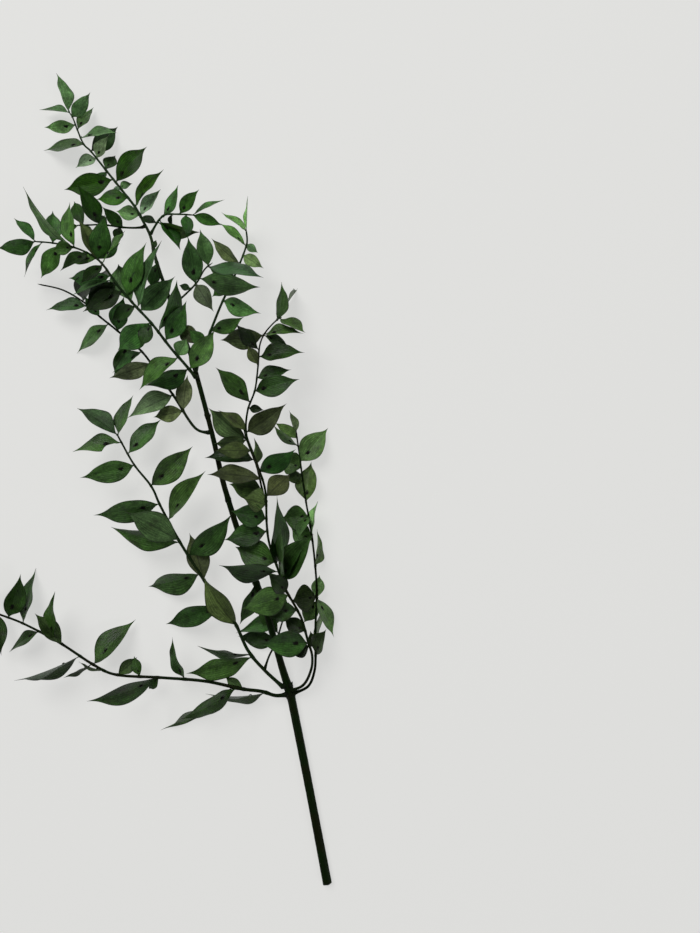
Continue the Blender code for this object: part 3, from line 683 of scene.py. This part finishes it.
class Form:
    """Collects points in millimetres, faces and values at the points, and turns them into one piece."""

    def __init__(self):
        self.points, self.faces, self.sharp, self.material = [], [], [], []
        self.values = {name: [] for name in VALUES}
        self.count = 0

    def add(self, points, faces, edge_faces=(), material=0, **values):
        """Adds a patch: faces to shade smoothly, faces of a sharp edge, and its values at the points."""
        self.points.append(points)
        self.faces.extend([tuple(i + self.count for i in face) for face in (*faces, *edge_faces)])
        self.sharp.extend([False] * len(faces) + [True] * len(edge_faces))
        self.material.extend([material] * (len(faces) + len(edge_faces)))
        for name in VALUES:
            self.values[name].append(np.broadcast_to(values.get(name, (0.0, 0.0, 0.0)), points.shape))
        self.count += len(points)

    def piece(self, name, materials, node, slot):
        """The finished piece, which stands for a node. The slot is not used."""
        points = np.concatenate(self.points) + np.array([*KNUCKLE_FROM_MIDDLE, 0.0])
        mesh = bpy.data.meshes.new(name)
        mesh.from_pydata((points * MM).tolist(), [], self.faces)
        mesh.polygons.foreach_set("use_smooth", [not sharp for sharp in self.sharp])
        mesh.polygons.foreach_set("material_index", self.material)
        for value_name, value in self.values.items():
            layer = mesh.attributes.new(value_name, "FLOAT_VECTOR", "POINT")
            layer.data.foreach_set("vector", np.concatenate(value).astype(np.float32).ravel())
        for material in materials:
            mesh.materials.append(material)
        mesh.update()
        piece = put(name, mesh)
        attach(piece, "root")
        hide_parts(node)


def grid_faces(rows, columns, closed=False):
    """Faces of a grid of points given row by row, where each row may close to a ring."""
    faces = []
    for i in range(rows - 1):
        for j in range(columns if closed else columns - 1):
            a, b = i * columns + j, i * columns + (j + 1) % columns
            faces.append((a, b, b + columns, a + columns))
    return faces


def tube_faces(rings, sides, near_end=True):
    """Faces of a tube of rings of points, with its far end and, unless told otherwise, its near end."""
    faces = grid_faces(rings, sides, closed=True)
    faces.append(tuple(range((rings - 1) * sides, rings * sides)))
    if near_end:
        faces.append(tuple(range(sides))[::-1])
    return faces


def smooth_step(low, high, value):
    """Rises smoothly from 0 at low to 1 at high."""
    share = np.clip((value - low) / (high - low), 0.0, 1.0)
    return share * share * (3 - 2 * share)


def fine_outline(t, peak):
    """Half width of a real blade: full in the middle, wedge-shaped at the base, drawn out at the tip."""
    blade = np.clip((t - BLADE_START) / (1 - BLADE_START), 0.0, 1.0)
    power = math.log(0.5) / math.log(peak)
    body = np.sin(math.pi * np.minimum(blade ** power, 1.0)) ** BLADE_TAPER
    return body * (1 - TIP_TAPER * smooth_step(TIP_START, 0.95, blade))


def width_gain(name, leaf):
    """How much wider the finer blade is, so that it looks as wide from above as the real one."""
    gain = BRANCHES[name]["crowded_gain"] if leaf["along"] < CROWDED_REACH else WIDTH_GAIN
    openness = 2 * leaf["half_width"] * abs(math.cos(math.radians(leaf["roll"])))
    return gain * min(WIDTH_LEEWAY[1], max(WIDTH_LEEWAY[0], leaf["seen_width"] / openness))


def leaf_character(draw, name, leaf):
    """What makes one leaf differ from the next at close range."""
    ranges = dict(CHARACTER_RANGES)
    if leaf["look"] == "pale":
        ranges["cup"] = PALE_CUP_RANGE
    character = {key: draw.uniform(*span) for key, span in ranges.items()}
    character["gain"] = width_gain(name, leaf)
    return character


def blade_half_width(leaf, character, t, u):
    """Half width of the finer leaf in each row: a little lopsided, on a thin stalk, and notched if torn."""
    half = character["gain"] * leaf["half_width"] * fine_outline(t, character["peak"])
    half = half * (1 + character["lop"] * u * np.sin(math.pi * t))
    half = np.maximum(half, STALK_HALF_WIDTH * (1 - t) ** 2 + LEAST_HALF_WIDTH)
    if leaf["look"] == "torn":
        start, deep, last, end = TORN_SPAN
        notch = (u > 0.1) * smooth_step(start, deep, t) * (1 - smooth_step(last, end, t))
        half = half * (1 - TORN_DEPTH * notch)
    return half


def blade_middle(leaf, character, t, u, half, openness):
    """The finer leaf's middle sheet: cupped, creased, rippled, twisted and waved, and curled lengthwise."""
    ahead, across, face = (np.array(axis) for axis in leaf_axes(leaf))
    length = leaf["length"]
    calm = abs(math.cos(math.radians(leaf["roll"])))
    bend = character["cup"] * openness
    bend = np.where(np.abs(bend) < 0.01, 0.01, bend)
    sideways = half * np.sin(bend * u) / bend + length * character["sweep"] * t ** 2 * (1 - 0.4 * t)
    crease = (leaf["fold"] + calm * character["crease"]) * np.abs(u) ** 1.2
    ripple = leaf["ripple"] * np.sin(math.tau * t) * u
    twist = calm * character["twist"] * (t - 0.4) * u
    wave = np.sin(math.tau * character["waves"] * t + character["phase"] * np.sign(u))
    outward = half * (1 - np.cos(bend * u)) / bend + half * openness * (crease + ripple + twist)
    outward += length * character["wave_size"] * wave * u ** 2 * np.sin(math.pi * t)
    outward += length * (leaf["curl"] * t ** 2 + leaf["arch"] * t * (1 - t))
    outward += length * character["tip_bend"] * smooth_step(TIP_START, 1.0, t) * (t - TIP_START)
    steps = ((length * t + 0 * u, ahead), (sideways, across), (outward, face))
    return np.array(leaf["root"]) + sum(step[..., None] * axis for step, axis in steps)


def blade_sheets(leaf, character):
    """Upper and lower points of the finer leaf, as rows by columns, with its shares along and across."""
    even = np.linspace(0.0, 1.0, FINE_ROWS)
    t = ((1 - ROW_CROWDING) * even + ROW_CROWDING * (3 * even ** 2 - 2 * even ** 3))[:, None]
    u = np.linspace(-1.0, 1.0, 4 * VEINS_A_SIDE + 1)[None, :]
    half = blade_half_width(leaf, character, t, u)
    openness = smooth_step(*OPENING_SPAN, t)
    middle = blade_middle(leaf, character, t, u, half, openness)
    relief = openness * (1 - smooth_step(0.8, 1.0, t))
    vein = VEIN_HEIGHT * np.cos(math.tau * VEINS_A_SIDE * u) * (1 - np.abs(u) ** 6) * relief
    rib = MIDRIB_HEIGHT * np.exp(-(u / 0.07) ** 2) * (1 - t) * openness
    stalk = (STALK_HALF_THICKNESS - BLADE_HALF_THICKNESS) * (1 - smooth_step(0.0, 0.1, t)) * (1 - u ** 2)
    thick = BLADE_HALF_THICKNESS * (1 - 0.55 * u ** 4) * (1 - 0.5 * t) + stalk
    on_face, on_back = vein - 0.5 * rib, vein + rib
    up, down = (on_face, on_back) if LOOKS[leaf["look"]][0] == "face" else (on_back, on_face)
    face = np.array(leaf_axes(leaf)[2])
    upper = middle + (thick + up)[..., None] * face
    lower = middle - (thick + down)[..., None] * face
    lift = np.maximum(0.0, -np.minimum(upper[..., 2], lower[..., 2]))
    upper[..., 2] += lift
    lower[..., 2] += lift
    return upper, lower, t + 0 * u, u + 0 * t, half


def leaf_colours(name, look, character):
    """Colours of the upper and the lower side."""
    side, colour = LOOKS[look]
    warmth = character["warmth"]
    colour = np.array(colour) * character["shade"] * np.array(BRANCHES[name]["tint"])
    colour = colour * np.array([1 + warmth, 1.0, 1 - warmth])
    grey = colour.mean()
    if side == "face":
        return colour, 0.62 * colour + 0.5 * grey * np.array([1.0, 1.15, 0.85])
    return colour, np.array([0.55, 1.0, 0.5]) * grey * 1.1


def add_leaf(form, name, leaf, character):
    """Adds one finer leaf as a closed blade, with its bud on the side that is its face."""
    upper, lower, t, u, half = blade_sheets(leaf, character)
    face_up = LOOKS[leaf["look"]][0] == "face"
    has_bud = not leaf["near_tip"]
    scale = min(1.0, leaf["length"] / FULL_LEAF)
    # Painted shade: one half of the blade is made lighter and the other darker, as light falls on its fold
    painted_fold_shade = 1 + PAINTED_FOLD_SHADE * math.sin(character["phase"]) * np.clip(2.5 * u, -1.0, 1.0)
    colours = leaf_colours(name, leaf["look"], character)
    sides = []
    for sheet, colour, is_face in zip((upper, lower), colours, (face_up, not face_up)):
        from_bud = t * 0 + NO_BUD
        if is_face and has_bud:
            from_bud = (t - character["bud"]) * leaf["length"] / scale
        blade = np.stack([u, t, u * 0 + (not is_face)], axis=-1)
        spot = np.stack([from_bud, u * half / scale, u * 0 + character["stain"]], axis=-1)
        sides.append((sheet, blade, spot, painted_fold_shade[..., None] * colour))
    points, blade, spot, tint = (np.concatenate(pair).reshape(-1, 3) for pair in zip(*sides))
    count = t.size
    grid = grid_faces(*t.shape)
    faces = [face[::-1] for face in grid] + [tuple(i + count for i in face) for face in grid]
    rim = grid_rim(*t.shape)
    rim_faces = [(a, a + count, b + count, b) for a, b in zip(rim, rim[1:] + rim[:1])]
    form.add(points, faces, rim_faces, blade=blade, spot=spot, tint=tint)
    if has_bud:
        outward = leaf_axes(leaf)[2] * (1 if face_up else -1)
        add_bud(form, upper if face_up else lower, t[:, 0], scale, character, outward)


def grid_rim(rows, columns):
    """Numbers of the points round a grid's outline, in order."""
    last = (rows - 1) * columns
    near_side = [i * columns for i in range(rows)]
    far_side = [i * columns + columns - 1 for i in range(rows - 2, -1, -1)]
    return near_side + [last + j for j in range(1, columns)] + far_side + list(range(columns - 2, 0, -1))


def unit(vector):
    """The same direction with length one."""
    return vector / max(1e-9, np.linalg.norm(vector))


def add_drop(form, seat, along, normal, size, material=0, **values):
    """Adds a small pointed drop of a given length, width and height that lies on a surface."""
    length, width, height = size
    side = np.cross(normal, along)
    points = []
    for i in range(DROP_RINGS):
        share = i / (DROP_RINGS - 1)
        girth = math.sin(math.pi * share ** 0.7) ** 0.9 + 0.02
        for j in range(DROP_SIDES):
            angle = math.tau * j / DROP_SIDES
            points.append(
                seat + along * (length * (share - 0.4)) + side * (0.5 * width * girth * math.cos(angle))
                + normal * (height * (0.28 + 0.5 * girth * math.sin(angle)))
            )
    form.add(np.array(points), tube_faces(DROP_RINGS, DROP_SIDES), material=material, **values)


def add_bud(form, sheet, shares, scale, character, outward):
    """Adds a dried bud on the midrib: a dark drop between two small papery scales."""
    row = int(np.argmin(np.abs(shares - character["bud"])))
    middle = sheet.shape[1] // 2
    seat = sheet[row, middle]
    along = unit(sheet[row + 1, middle] - sheet[row - 1, middle])
    normal = unit(np.cross(along, sheet[row, middle + 2] - sheet[row, middle - 2]))
    if np.dot(normal, outward) < 0:
        normal = -normal
    side = np.cross(normal, along)
    size = BUD_LENGTH * scale * (0.8 + 0.4 * character["stain"])
    add_drop(form, seat, along, normal, (size, 0.62 * size, 0.5 * size), material=1, tint=BUD_COLOUR)
    for turn, colour in BUD_SCALES:
        lean = unit(along * math.cos(turn) + side * math.sin(turn))
        place = seat - along * (0.25 * size) + side * (0.16 * size * math.copysign(1, turn))
        scale_size = (0.85 * size, 0.36 * size, 0.22 * size)
        add_drop(form, place, lean, normal, scale_size, material=1, tint=colour)


def fine_centre_line(name, skeleton):
    """The wood's centre line in small steps, from inside its parent, and how much the parent hides."""
    route = route_from(whole_route(name), skeleton[name][1])
    parent = BRANCHES[name]["grows_from"]
    if parent is None:
        return even_route(route, WOOD_STEP), 0.0
    inside, _ = nearest_along(whole_route(parent), route[0])
    return even_route([inside] + route, WOOD_STEP), (route[0] - inside).length


def share_past(start, reach, distance):
    """How far a distance has got past a start, as a share of a reach, from 0 to 1."""
    return min(1.0, max(0.0, (distance - start) / reach))


def fine_radius(name, distance, total):
    """Radius of the finer wood. Above the knuckle the stem is more slender than the solid one."""
    share = BRANCHES[name]["girth"] * (1 - SLENDER_SHARE)
    if name == "main_stem":
        share = 1 - SLENDER_SHARE * share_past(LOWER_STEM, SLENDER_REACH, distance)
        share -= SHOOT_SLENDER_SHARE * share_past(SHOOT_START, SHOOT_REACH, distance)
    return wood_radius(BRANCHES[name], distance, total) * share


def green_share(name, along):
    """How green the wood is. On the stem only its leading shoot is."""
    if name == "main_stem":
        return SHOOT_GREEN * share_past(SHOOT_START, SHOOT_REACH, along)
    return BRANCHES[name]["green"]


def wood_rings(name, line, hidden, swellings, sides, phase):
    """Rings of points round a branch's wood, ridged and swollen, with their values for the bark."""
    total = route_length(line)
    points, grain, green = [], [], []
    side = Vector((0.31, 0.17, 1.0))
    for i, centre in enumerate(line):
        ahead = (line[min(i + 1, len(line) - 1)] - line[max(i - 1, 0)]).normalized()
        side = (side - ahead * side.dot(ahead)).normalized()
        other = ahead.cross(side)
        along = total * i / (len(line) - 1)
        radius = fine_radius(name, max(0.0, along - hidden), total - hidden)
        spread = 0.8 + radius * 0.5
        swell = max(size * math.exp(-((along - place) / spread) ** 2) for place, size in swellings)
        if hidden:
            swell += COLLAR_SWELLING * math.exp(-max(0.0, along - hidden) / COLLAR_REACH)
        end = min(1.0, (total - along) / END_TAPER)
        for j in range(sides):
            angle = math.tau * j / sides
            ridge = RIDGE_SHARE * math.cos(RIDGES * angle + phase + 0.02 * along)
            rough = ROUGH_SHARE * math.sin(0.9 * along + 3 * angle + phase) * math.sin(0.37 * along + phase)
            reach = radius * (1 + min(LARGEST_SWELLING, swell) + ridge + rough)
            reach *= END_SHARE + (1 - END_SHARE) * end
            point = centre + (side * math.cos(angle) + other * math.sin(angle)) * reach
            if i == 0 and name == "main_stem":
                point += ahead * (CUT_SLANT * (0.5 + 0.5 * math.cos(angle)))
            points.append(point)
            grain.append((along, angle * radius, min(1.0, swell)))
            green.append((green_share(name, along), 0.0, 0.0))
    return np.array(points), np.array(grain), np.array(green)


def add_wood(form, name, skeleton, leaves):
    """Adds a branch's wood with its scales, and on the stem the bracts of its knobs and its cut end."""
    line, hidden = fine_centre_line(name, skeleton)
    is_stem = name == "main_stem"
    knobs = STEM_KNOBS if is_stem else ()
    sides = STEM_SIDES if is_stem else BRANCH_SIDES
    draw = random.Random(LOOKS_SEED + 7 * len(name))
    swellings = [(nearest_along(line, leaf["root"])[1], NODE_SWELLING) for leaf in leaves]
    swellings.extend(knobs)
    points, grain, green = wood_rings(name, line, hidden, swellings, sides, draw.uniform(0, 6.28))
    points[:, 2] = np.maximum(points[:, 2], 0.0)
    form.add(points, tube_faces(len(line), sides, not is_stem), grain=grain, tint=green)
    for leaf in leaves:
        add_scale(form, line, leaf, name, draw)
    for along, size in knobs:
        add_knob_bracts(form, line, along, size, draw)
    if is_stem:
        add_cut(form, points[:sides])


def add_scale(form, line, leaf, name, draw):
    """Adds the small dry scale that sits on the wood under each leaf."""
    place, along = nearest_along(line, leaf["root"])
    ahead = np.array((point_along(line, along + 1) - point_along(line, max(0.0, along - 1))).normalized())
    radius = fine_radius(name, along, route_length(line))
    outward = np.array(leaf_axes(leaf)[0])
    outward = unit(outward - ahead * np.dot(outward, ahead))
    under = unit(np.cross(ahead, outward)) * draw.choice((-0.4, 0.4))
    lean = unit(ahead * 0.9 + outward * 0.55 + under * 0.3)
    seat = np.array(place) + outward * radius * 0.7 + under * radius
    seat[2] = max(seat[2], LEAST_SEAT_HEIGHT)
    size = draw.uniform(*SCALE_LENGTHS)
    add_drop(form, seat, lean, outward, (size, 0.9, 0.5), grain=(along, 0.0, 1.0))


def add_knob_bracts(form, line, along, size, draw):
    """Adds the dry bracts that stand round a knob of the stem."""
    centre = np.array(point_along(line, along))
    ahead = unit(np.array(point_along(line, along + 1)) - centre)
    side = unit(np.cross(ahead, (0.3, 0.1, 1.0)))
    radius = fine_radius("main_stem", along, route_length(line))
    for k in range(KNOB_BRACTS):
        angle = math.tau * (k + draw.uniform(-0.3, 0.3)) / KNOB_BRACTS
        outward = side * math.cos(angle) + np.cross(ahead, side) * math.sin(angle)
        seat = centre + outward * radius * 0.95 + ahead * draw.uniform(-1.5, 1.5)
        seat[2] = max(seat[2], LEAST_SEAT_HEIGHT)
        lean = unit(ahead + outward * draw.uniform(0.1, 0.5))
        length = radius * (1.0 + 2.0 * size) * draw.uniform(0.8, 1.3)
        add_drop(form, seat, lean, outward, (length, 0.5 * length, 0.3 * length), grain=(along, angle, 1.0))


def add_cut(form, ring):
    """Adds the cut end's face, as rings round its middle."""
    middle = ring.mean(axis=0)
    count = len(ring)
    points = np.array([middle + (point - middle) * share for share in CUT_RINGS for point in ring])
    faces = [tuple(range(count))]
    faces += [(a, d, c, b) for a, b, c, d in grid_faces(len(CUT_RINGS), count, closed=True)]
    value = np.array([(share, 0.0, 0.0) for share in CUT_RINGS for _ in range(count)])
    form.add(points, faces, material=1, ring=value)


class Graph:
    """A new material, with short names for the nodes that feed its shader."""

    def __init__(self, name):
        self.material = bpy.data.materials.new(name)
        self.material.use_nodes = True
        self.tree = self.material.node_tree

    def feed(self, socket, value):
        """Links a node's result, or sets a plain value. A plain colour gets its fourth number here."""
        if isinstance(value, bpy.types.NodeSocket):
            self.tree.links.new(value, socket)
        else:
            socket.default_value = (*value, 1.0) if socket.type == "RGBA" else value

    def node(self, kind, inputs, output=0, **settings):
        """A result of a new node, with its inputs by number or name."""
        node = self.tree.nodes.new(kind)
        for key, value in settings.items():
            setattr(node, key, value)
        for key, value in inputs.items():
            self.feed(node.inputs[key], value)
        return node.outputs[output]

    def math(self, operation, *numbers):
        return self.node("ShaderNodeMath", dict(enumerate(numbers)), operation=operation)

    def times(self, product, *factors):
        for factor in factors:
            product = self.math("MULTIPLY", product, factor)
        return product

    def plus(self, total, *terms):
        for term in terms:
            total = self.math("ADD", total, term)
        return total

    def value(self, name):
        """A value kept at the mesh's points, whole and split in three."""
        whole = self.node("ShaderNodeAttribute", {}, "Vector", attribute_name=name)
        return whole, *[self.node("ShaderNodeSeparateXYZ", {0: whole}, k) for k in range(3)]

    def ramp(self, value, low, high, low_to=0.0, high_to=1.0):
        """Goes smoothly from low_to, where the value is low, to high_to, where it is high."""
        inputs = dict(enumerate((value, low, high, low_to, high_to)))
        return self.node("ShaderNodeMapRange", inputs, interpolation_type="SMOOTHSTEP")

    def vary(self, noise, low_to, high_to):
        """Spreads a noise's usual span from low_to to high_to."""
        return self.ramp(noise, 0.3, 0.7, low_to, high_to)

    def noise(self, scale, detail=3.0, roughness=0.6, vector=None):
        """Noise in the object's space, in waves a metre, or over another vector."""
        vector = vector or self.node("ShaderNodeTexCoord", {}, "Object")
        inputs = {"Vector": vector, "Scale": scale, "Detail": detail, "Roughness": roughness}
        return self.node("ShaderNodeTexNoise", inputs)

    def point(self, x, y, z):
        return self.node("ShaderNodeCombineXYZ", {0: x, 1: y, 2: z})

    def scaled(self, colour, factor):
        return self.node("ShaderNodeVectorMath", {0: colour, "Scale": factor}, operation="SCALE")

    def mix(self, share, a, b):
        return self.node("ShaderNodeMix", {"Factor": share, "A": a, "B": b}, "Result", data_type="RGBA")

    def bump(self, height, strength, depth):
        return self.node("ShaderNodeBump", {"Height": height, "Strength": strength, "Distance": depth})

    def finish(self, colour, roughness, specular, **others):
        """The material, with its shader fed."""
        inputs = {"Base_Color": colour, "Roughness": roughness, "Specular_IOR_Level": specular, **others}
        for key, value in inputs.items():
            self.feed(self.tree.nodes["Principled BSDF"].inputs[key.replace("_", " ")], value)
        return self.material


def leaf_material():
    """Dried leaf: leathery and half glossy, mottled, with fine veins, a dark rim and a stain at its bud."""
    g = Graph("preserved_leaf")
    _, across, along, is_back = g.value("blade")
    _, from_bud, off_middle, stain = g.value("spot")
    off = g.math("ABSOLUTE", across)
    patches = g.noise(95.0, detail=4.0)
    flecks = g.noise(620.0)
    lengthwise = g.point(g.times(along, 2.2), g.times(across, 11.0), patches)
    fibres = g.noise(2.4, detail=4.0, vector=lengthwise)
    vein = g.times(
        g.ramp(g.math("COSINE", g.times(across, math.tau * VEINS_A_SIDE)), 0.35, 1.0),
        g.ramp(off, 1.0, 0.8),
        g.ramp(fibres, 0.35, 0.6, 0.35, 1.0),
    )
    rib = g.ramp(off, 0.07, 0.015)
    shade = g.times(
        g.vary(patches, 0.6, 1.42),
        g.ramp(flecks, 0.32, 0.7, 0.8, 1.22),
        g.vary(fibres, 0.64, 1.4),
        g.plus(0.9, g.times(vein, g.ramp(is_back, 0, 1, 0.45, 0.5))),
        g.plus(1.0, g.times(rib, g.ramp(is_back, 0, 1, 0.3, -0.5))),
        g.ramp(off, 0.88, 1.0, 1.0, 0.45),
        g.ramp(along, 0.0, 0.18, 0.45, 1.0),
    )
    dry = g.times(g.ramp(along, 0.9, 1.0), g.ramp(patches, 0.35, 0.6, 0.3, 1.0))
    blotch = g.times(g.ramp(g.noise(60.0, roughness=0.5), 0.60, 0.72), 0.35)
    reach = g.plus(g.math("POWER", g.times(from_bud, 0.62), 2.0), g.math("POWER", off_middle, 2.0))
    reach = g.plus(g.math("SQRT", reach), g.vary(flecks, -0.35, 0.35))
    halo = g.times(g.ramp(reach, 1.8, 1.1), g.ramp(stain, 0.5, 1.0, 0.75, 1.0))
    colour = g.scaled(g.value("tint")[0], shade)
    for share, other in ((dry, DRY_TIP_COLOUR), (blotch, BLOTCH_COLOUR), (halo, STAIN_COLOUR)):
        colour = g.mix(share, colour, other)
    roughness = g.plus(g.vary(patches, 0.28, 0.42), g.ramp(is_back, 0, 1, 0.0, 0.16))
    height = g.plus(g.times(vein, 0.6), fibres, g.times(flecks, 0.5))
    return g.finish(colour, roughness, specular=0.3, Normal=g.bump(height, 0.7, 0.3 * MM))


def bark_material():
    """Dried bark: nearly black, partly green, with streaks lengthwise, semi-matte and finely ridged."""
    g = Graph("dried_bark")
    _, along, around, swell = g.value("grain")
    streaks = g.noise(1.0, detail=5.0, vector=g.point(g.times(along, 0.12), g.times(around, 2.6), 0.0))
    specks = g.noise(900.0)
    colour = g.mix(g.ramp(g.noise(45.0, roughness=0.5), 0.42, 0.62), *BARK_COLOURS)
    colour = g.mix(g.value("tint")[1], colour, GREEN_BARK_COLOUR)
    colour = g.scaled(colour, g.ramp(streaks, 0.34, 0.7, 0.5, 1.8))
    colour = g.mix(g.times(g.ramp(specks, 0.66, 0.78), 0.6), colour, SPECK_COLOUR)
    colour = g.mix(g.ramp(swell, 0.1, 0.6, 0.0, 0.6), colour, SWELLING_COLOUR)
    relief = g.bump(g.plus(streaks, g.times(specks, 0.35)), 0.6, 0.3 * MM)
    return g.finish(colour, g.vary(streaks, 0.48, 0.7), specular=0.08, Normal=relief)


def bud_material():
    """Dried bud: dull brown-black with a fine grain."""
    g = Graph("dried_bud")
    grain = g.noise(1500.0)
    colour = g.scaled(g.value("tint")[0], g.vary(grain, 0.6, 1.6))
    return g.finish(colour, g.vary(grain, 0.6, 0.9), specular=0.15, Normal=g.bump(grain, 0.5, 0.2 * MM))


def cut_material():
    """Cut wood: pale rings round a darker pith, inside a rim of bark."""
    g = Graph("cut_wood")
    from_middle = g.value("ring")[1]
    grain = g.noise(1400.0, detail=4.0)
    rings = g.math("SINE", g.times(from_middle, 26.0))
    colour = g.mix(g.ramp(from_middle, 0.16, 0.24), PITH_COLOUR, CUT_COLOUR)
    colour = g.mix(g.ramp(from_middle, 0.8, 0.95), colour, CUT_RIM_COLOUR)
    colour = g.scaled(colour, g.times(g.ramp(rings, -1, 1, 0.86, 1.1), g.vary(grain, 0.75, 1.2)))
    return g.finish(colour, 0.8, specular=0.5, Normal=g.bump(grain, 0.6, 0.3 * MM))


def add_floor():
    """The plain pale surface that the stem lies on, which glows a little so that shadows stay faint."""
    mesh = bpy.data.meshes.new("surface")
    corners = [(x * FLOOR_REACH, y * FLOOR_REACH, 0) for x, y in ((-1, -1), (1, -1), (1, 1), (-1, 1))]
    mesh.from_pydata(corners, [], [(0, 1, 2, 3)])
    glow = {"Emission_Color": (1.0, 1.0, 0.985), "Emission_Strength": FLOOR_GLOW}
    mesh.materials.append(Graph("pale_surface").finish(FLOOR_COLOUR, 0.9, specular=0.1, **glow))
    put("surface", mesh)


def add_lights():
    """A large soft light above, a weaker one from the side, and an even pale surrounding."""
    for name, place, size, power, colour in LAMPS:
        data = bpy.data.lights.new(name, "AREA")
        data.shape = "DISK"
        data.size = size
        data.energy = power
        data.color = colour
        lamp = put(name, data)
        lamp.location = place
        lamp.rotation_euler = (-Vector(place)).to_track_quat("-Z", "Y").to_euler()
    world = bpy.data.worlds.new("pale_surrounding")
    world.use_nodes = True
    background = world.node_tree.nodes["Background"]
    background.inputs["Color"].default_value = (1.0, 1.0, 0.99, 1.0)
    background.inputs["Strength"].default_value = WORLD_STRENGTH
    bpy.context.scene.world = world


def add_camera():
    """The photo's view: straight down, with the photo's frame."""
    data = bpy.data.cameras.new("photo_camera")
    data.sensor_width = SENSOR
    data.lens = SENSOR * FOCAL_PIXELS / PHOTO_HEIGHT
    data.clip_start = NEAREST_SEEN * MM
    camera = put("photo_camera", data)
    camera.location = (Vector(CAMERA_PLACE) + Vector((*KNUCKLE_FROM_MIDDLE, 0.0))) * MM
    bpy.context.scene.camera = camera


def main():
    """Dresses every branch of the frame, then sets the surface, the lights and the camera."""
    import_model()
    skeleton, wood_trees = {}, {None: None}
    for name, branch in BRANCHES.items():
        skeleton[name] = bones(name, wood_trees[branch["grows_from"]])
        wood_trees[name] = tube_tree(name, skeleton[name][0])
    leaves = lay_leaves(skeleton, wood_trees)
    leaf_looks = (leaf_material(), bud_material())
    wood_looks = (bark_material(), cut_material())
    for number, name in enumerate(BRANCHES):
        draw = random.Random(LOOKS_SEED + number)
        blades, wood = Form(), Form()
        for leaf in leaves[name]:
            add_leaf(blades, name, leaf, leaf_character(draw, name, leaf))
        add_wood(wood, name, skeleton, leaves[name])
        wood.piece(name + "_wood", wood_looks if name == "main_stem" else wood_looks[:1], name, "stem")
        blades.piece(name + "_leaves", leaf_looks, name, "leaf")
    add_floor()
    add_lights()
    add_camera()
    bpy.context.scene.view_settings.view_transform = "Standard"


main()
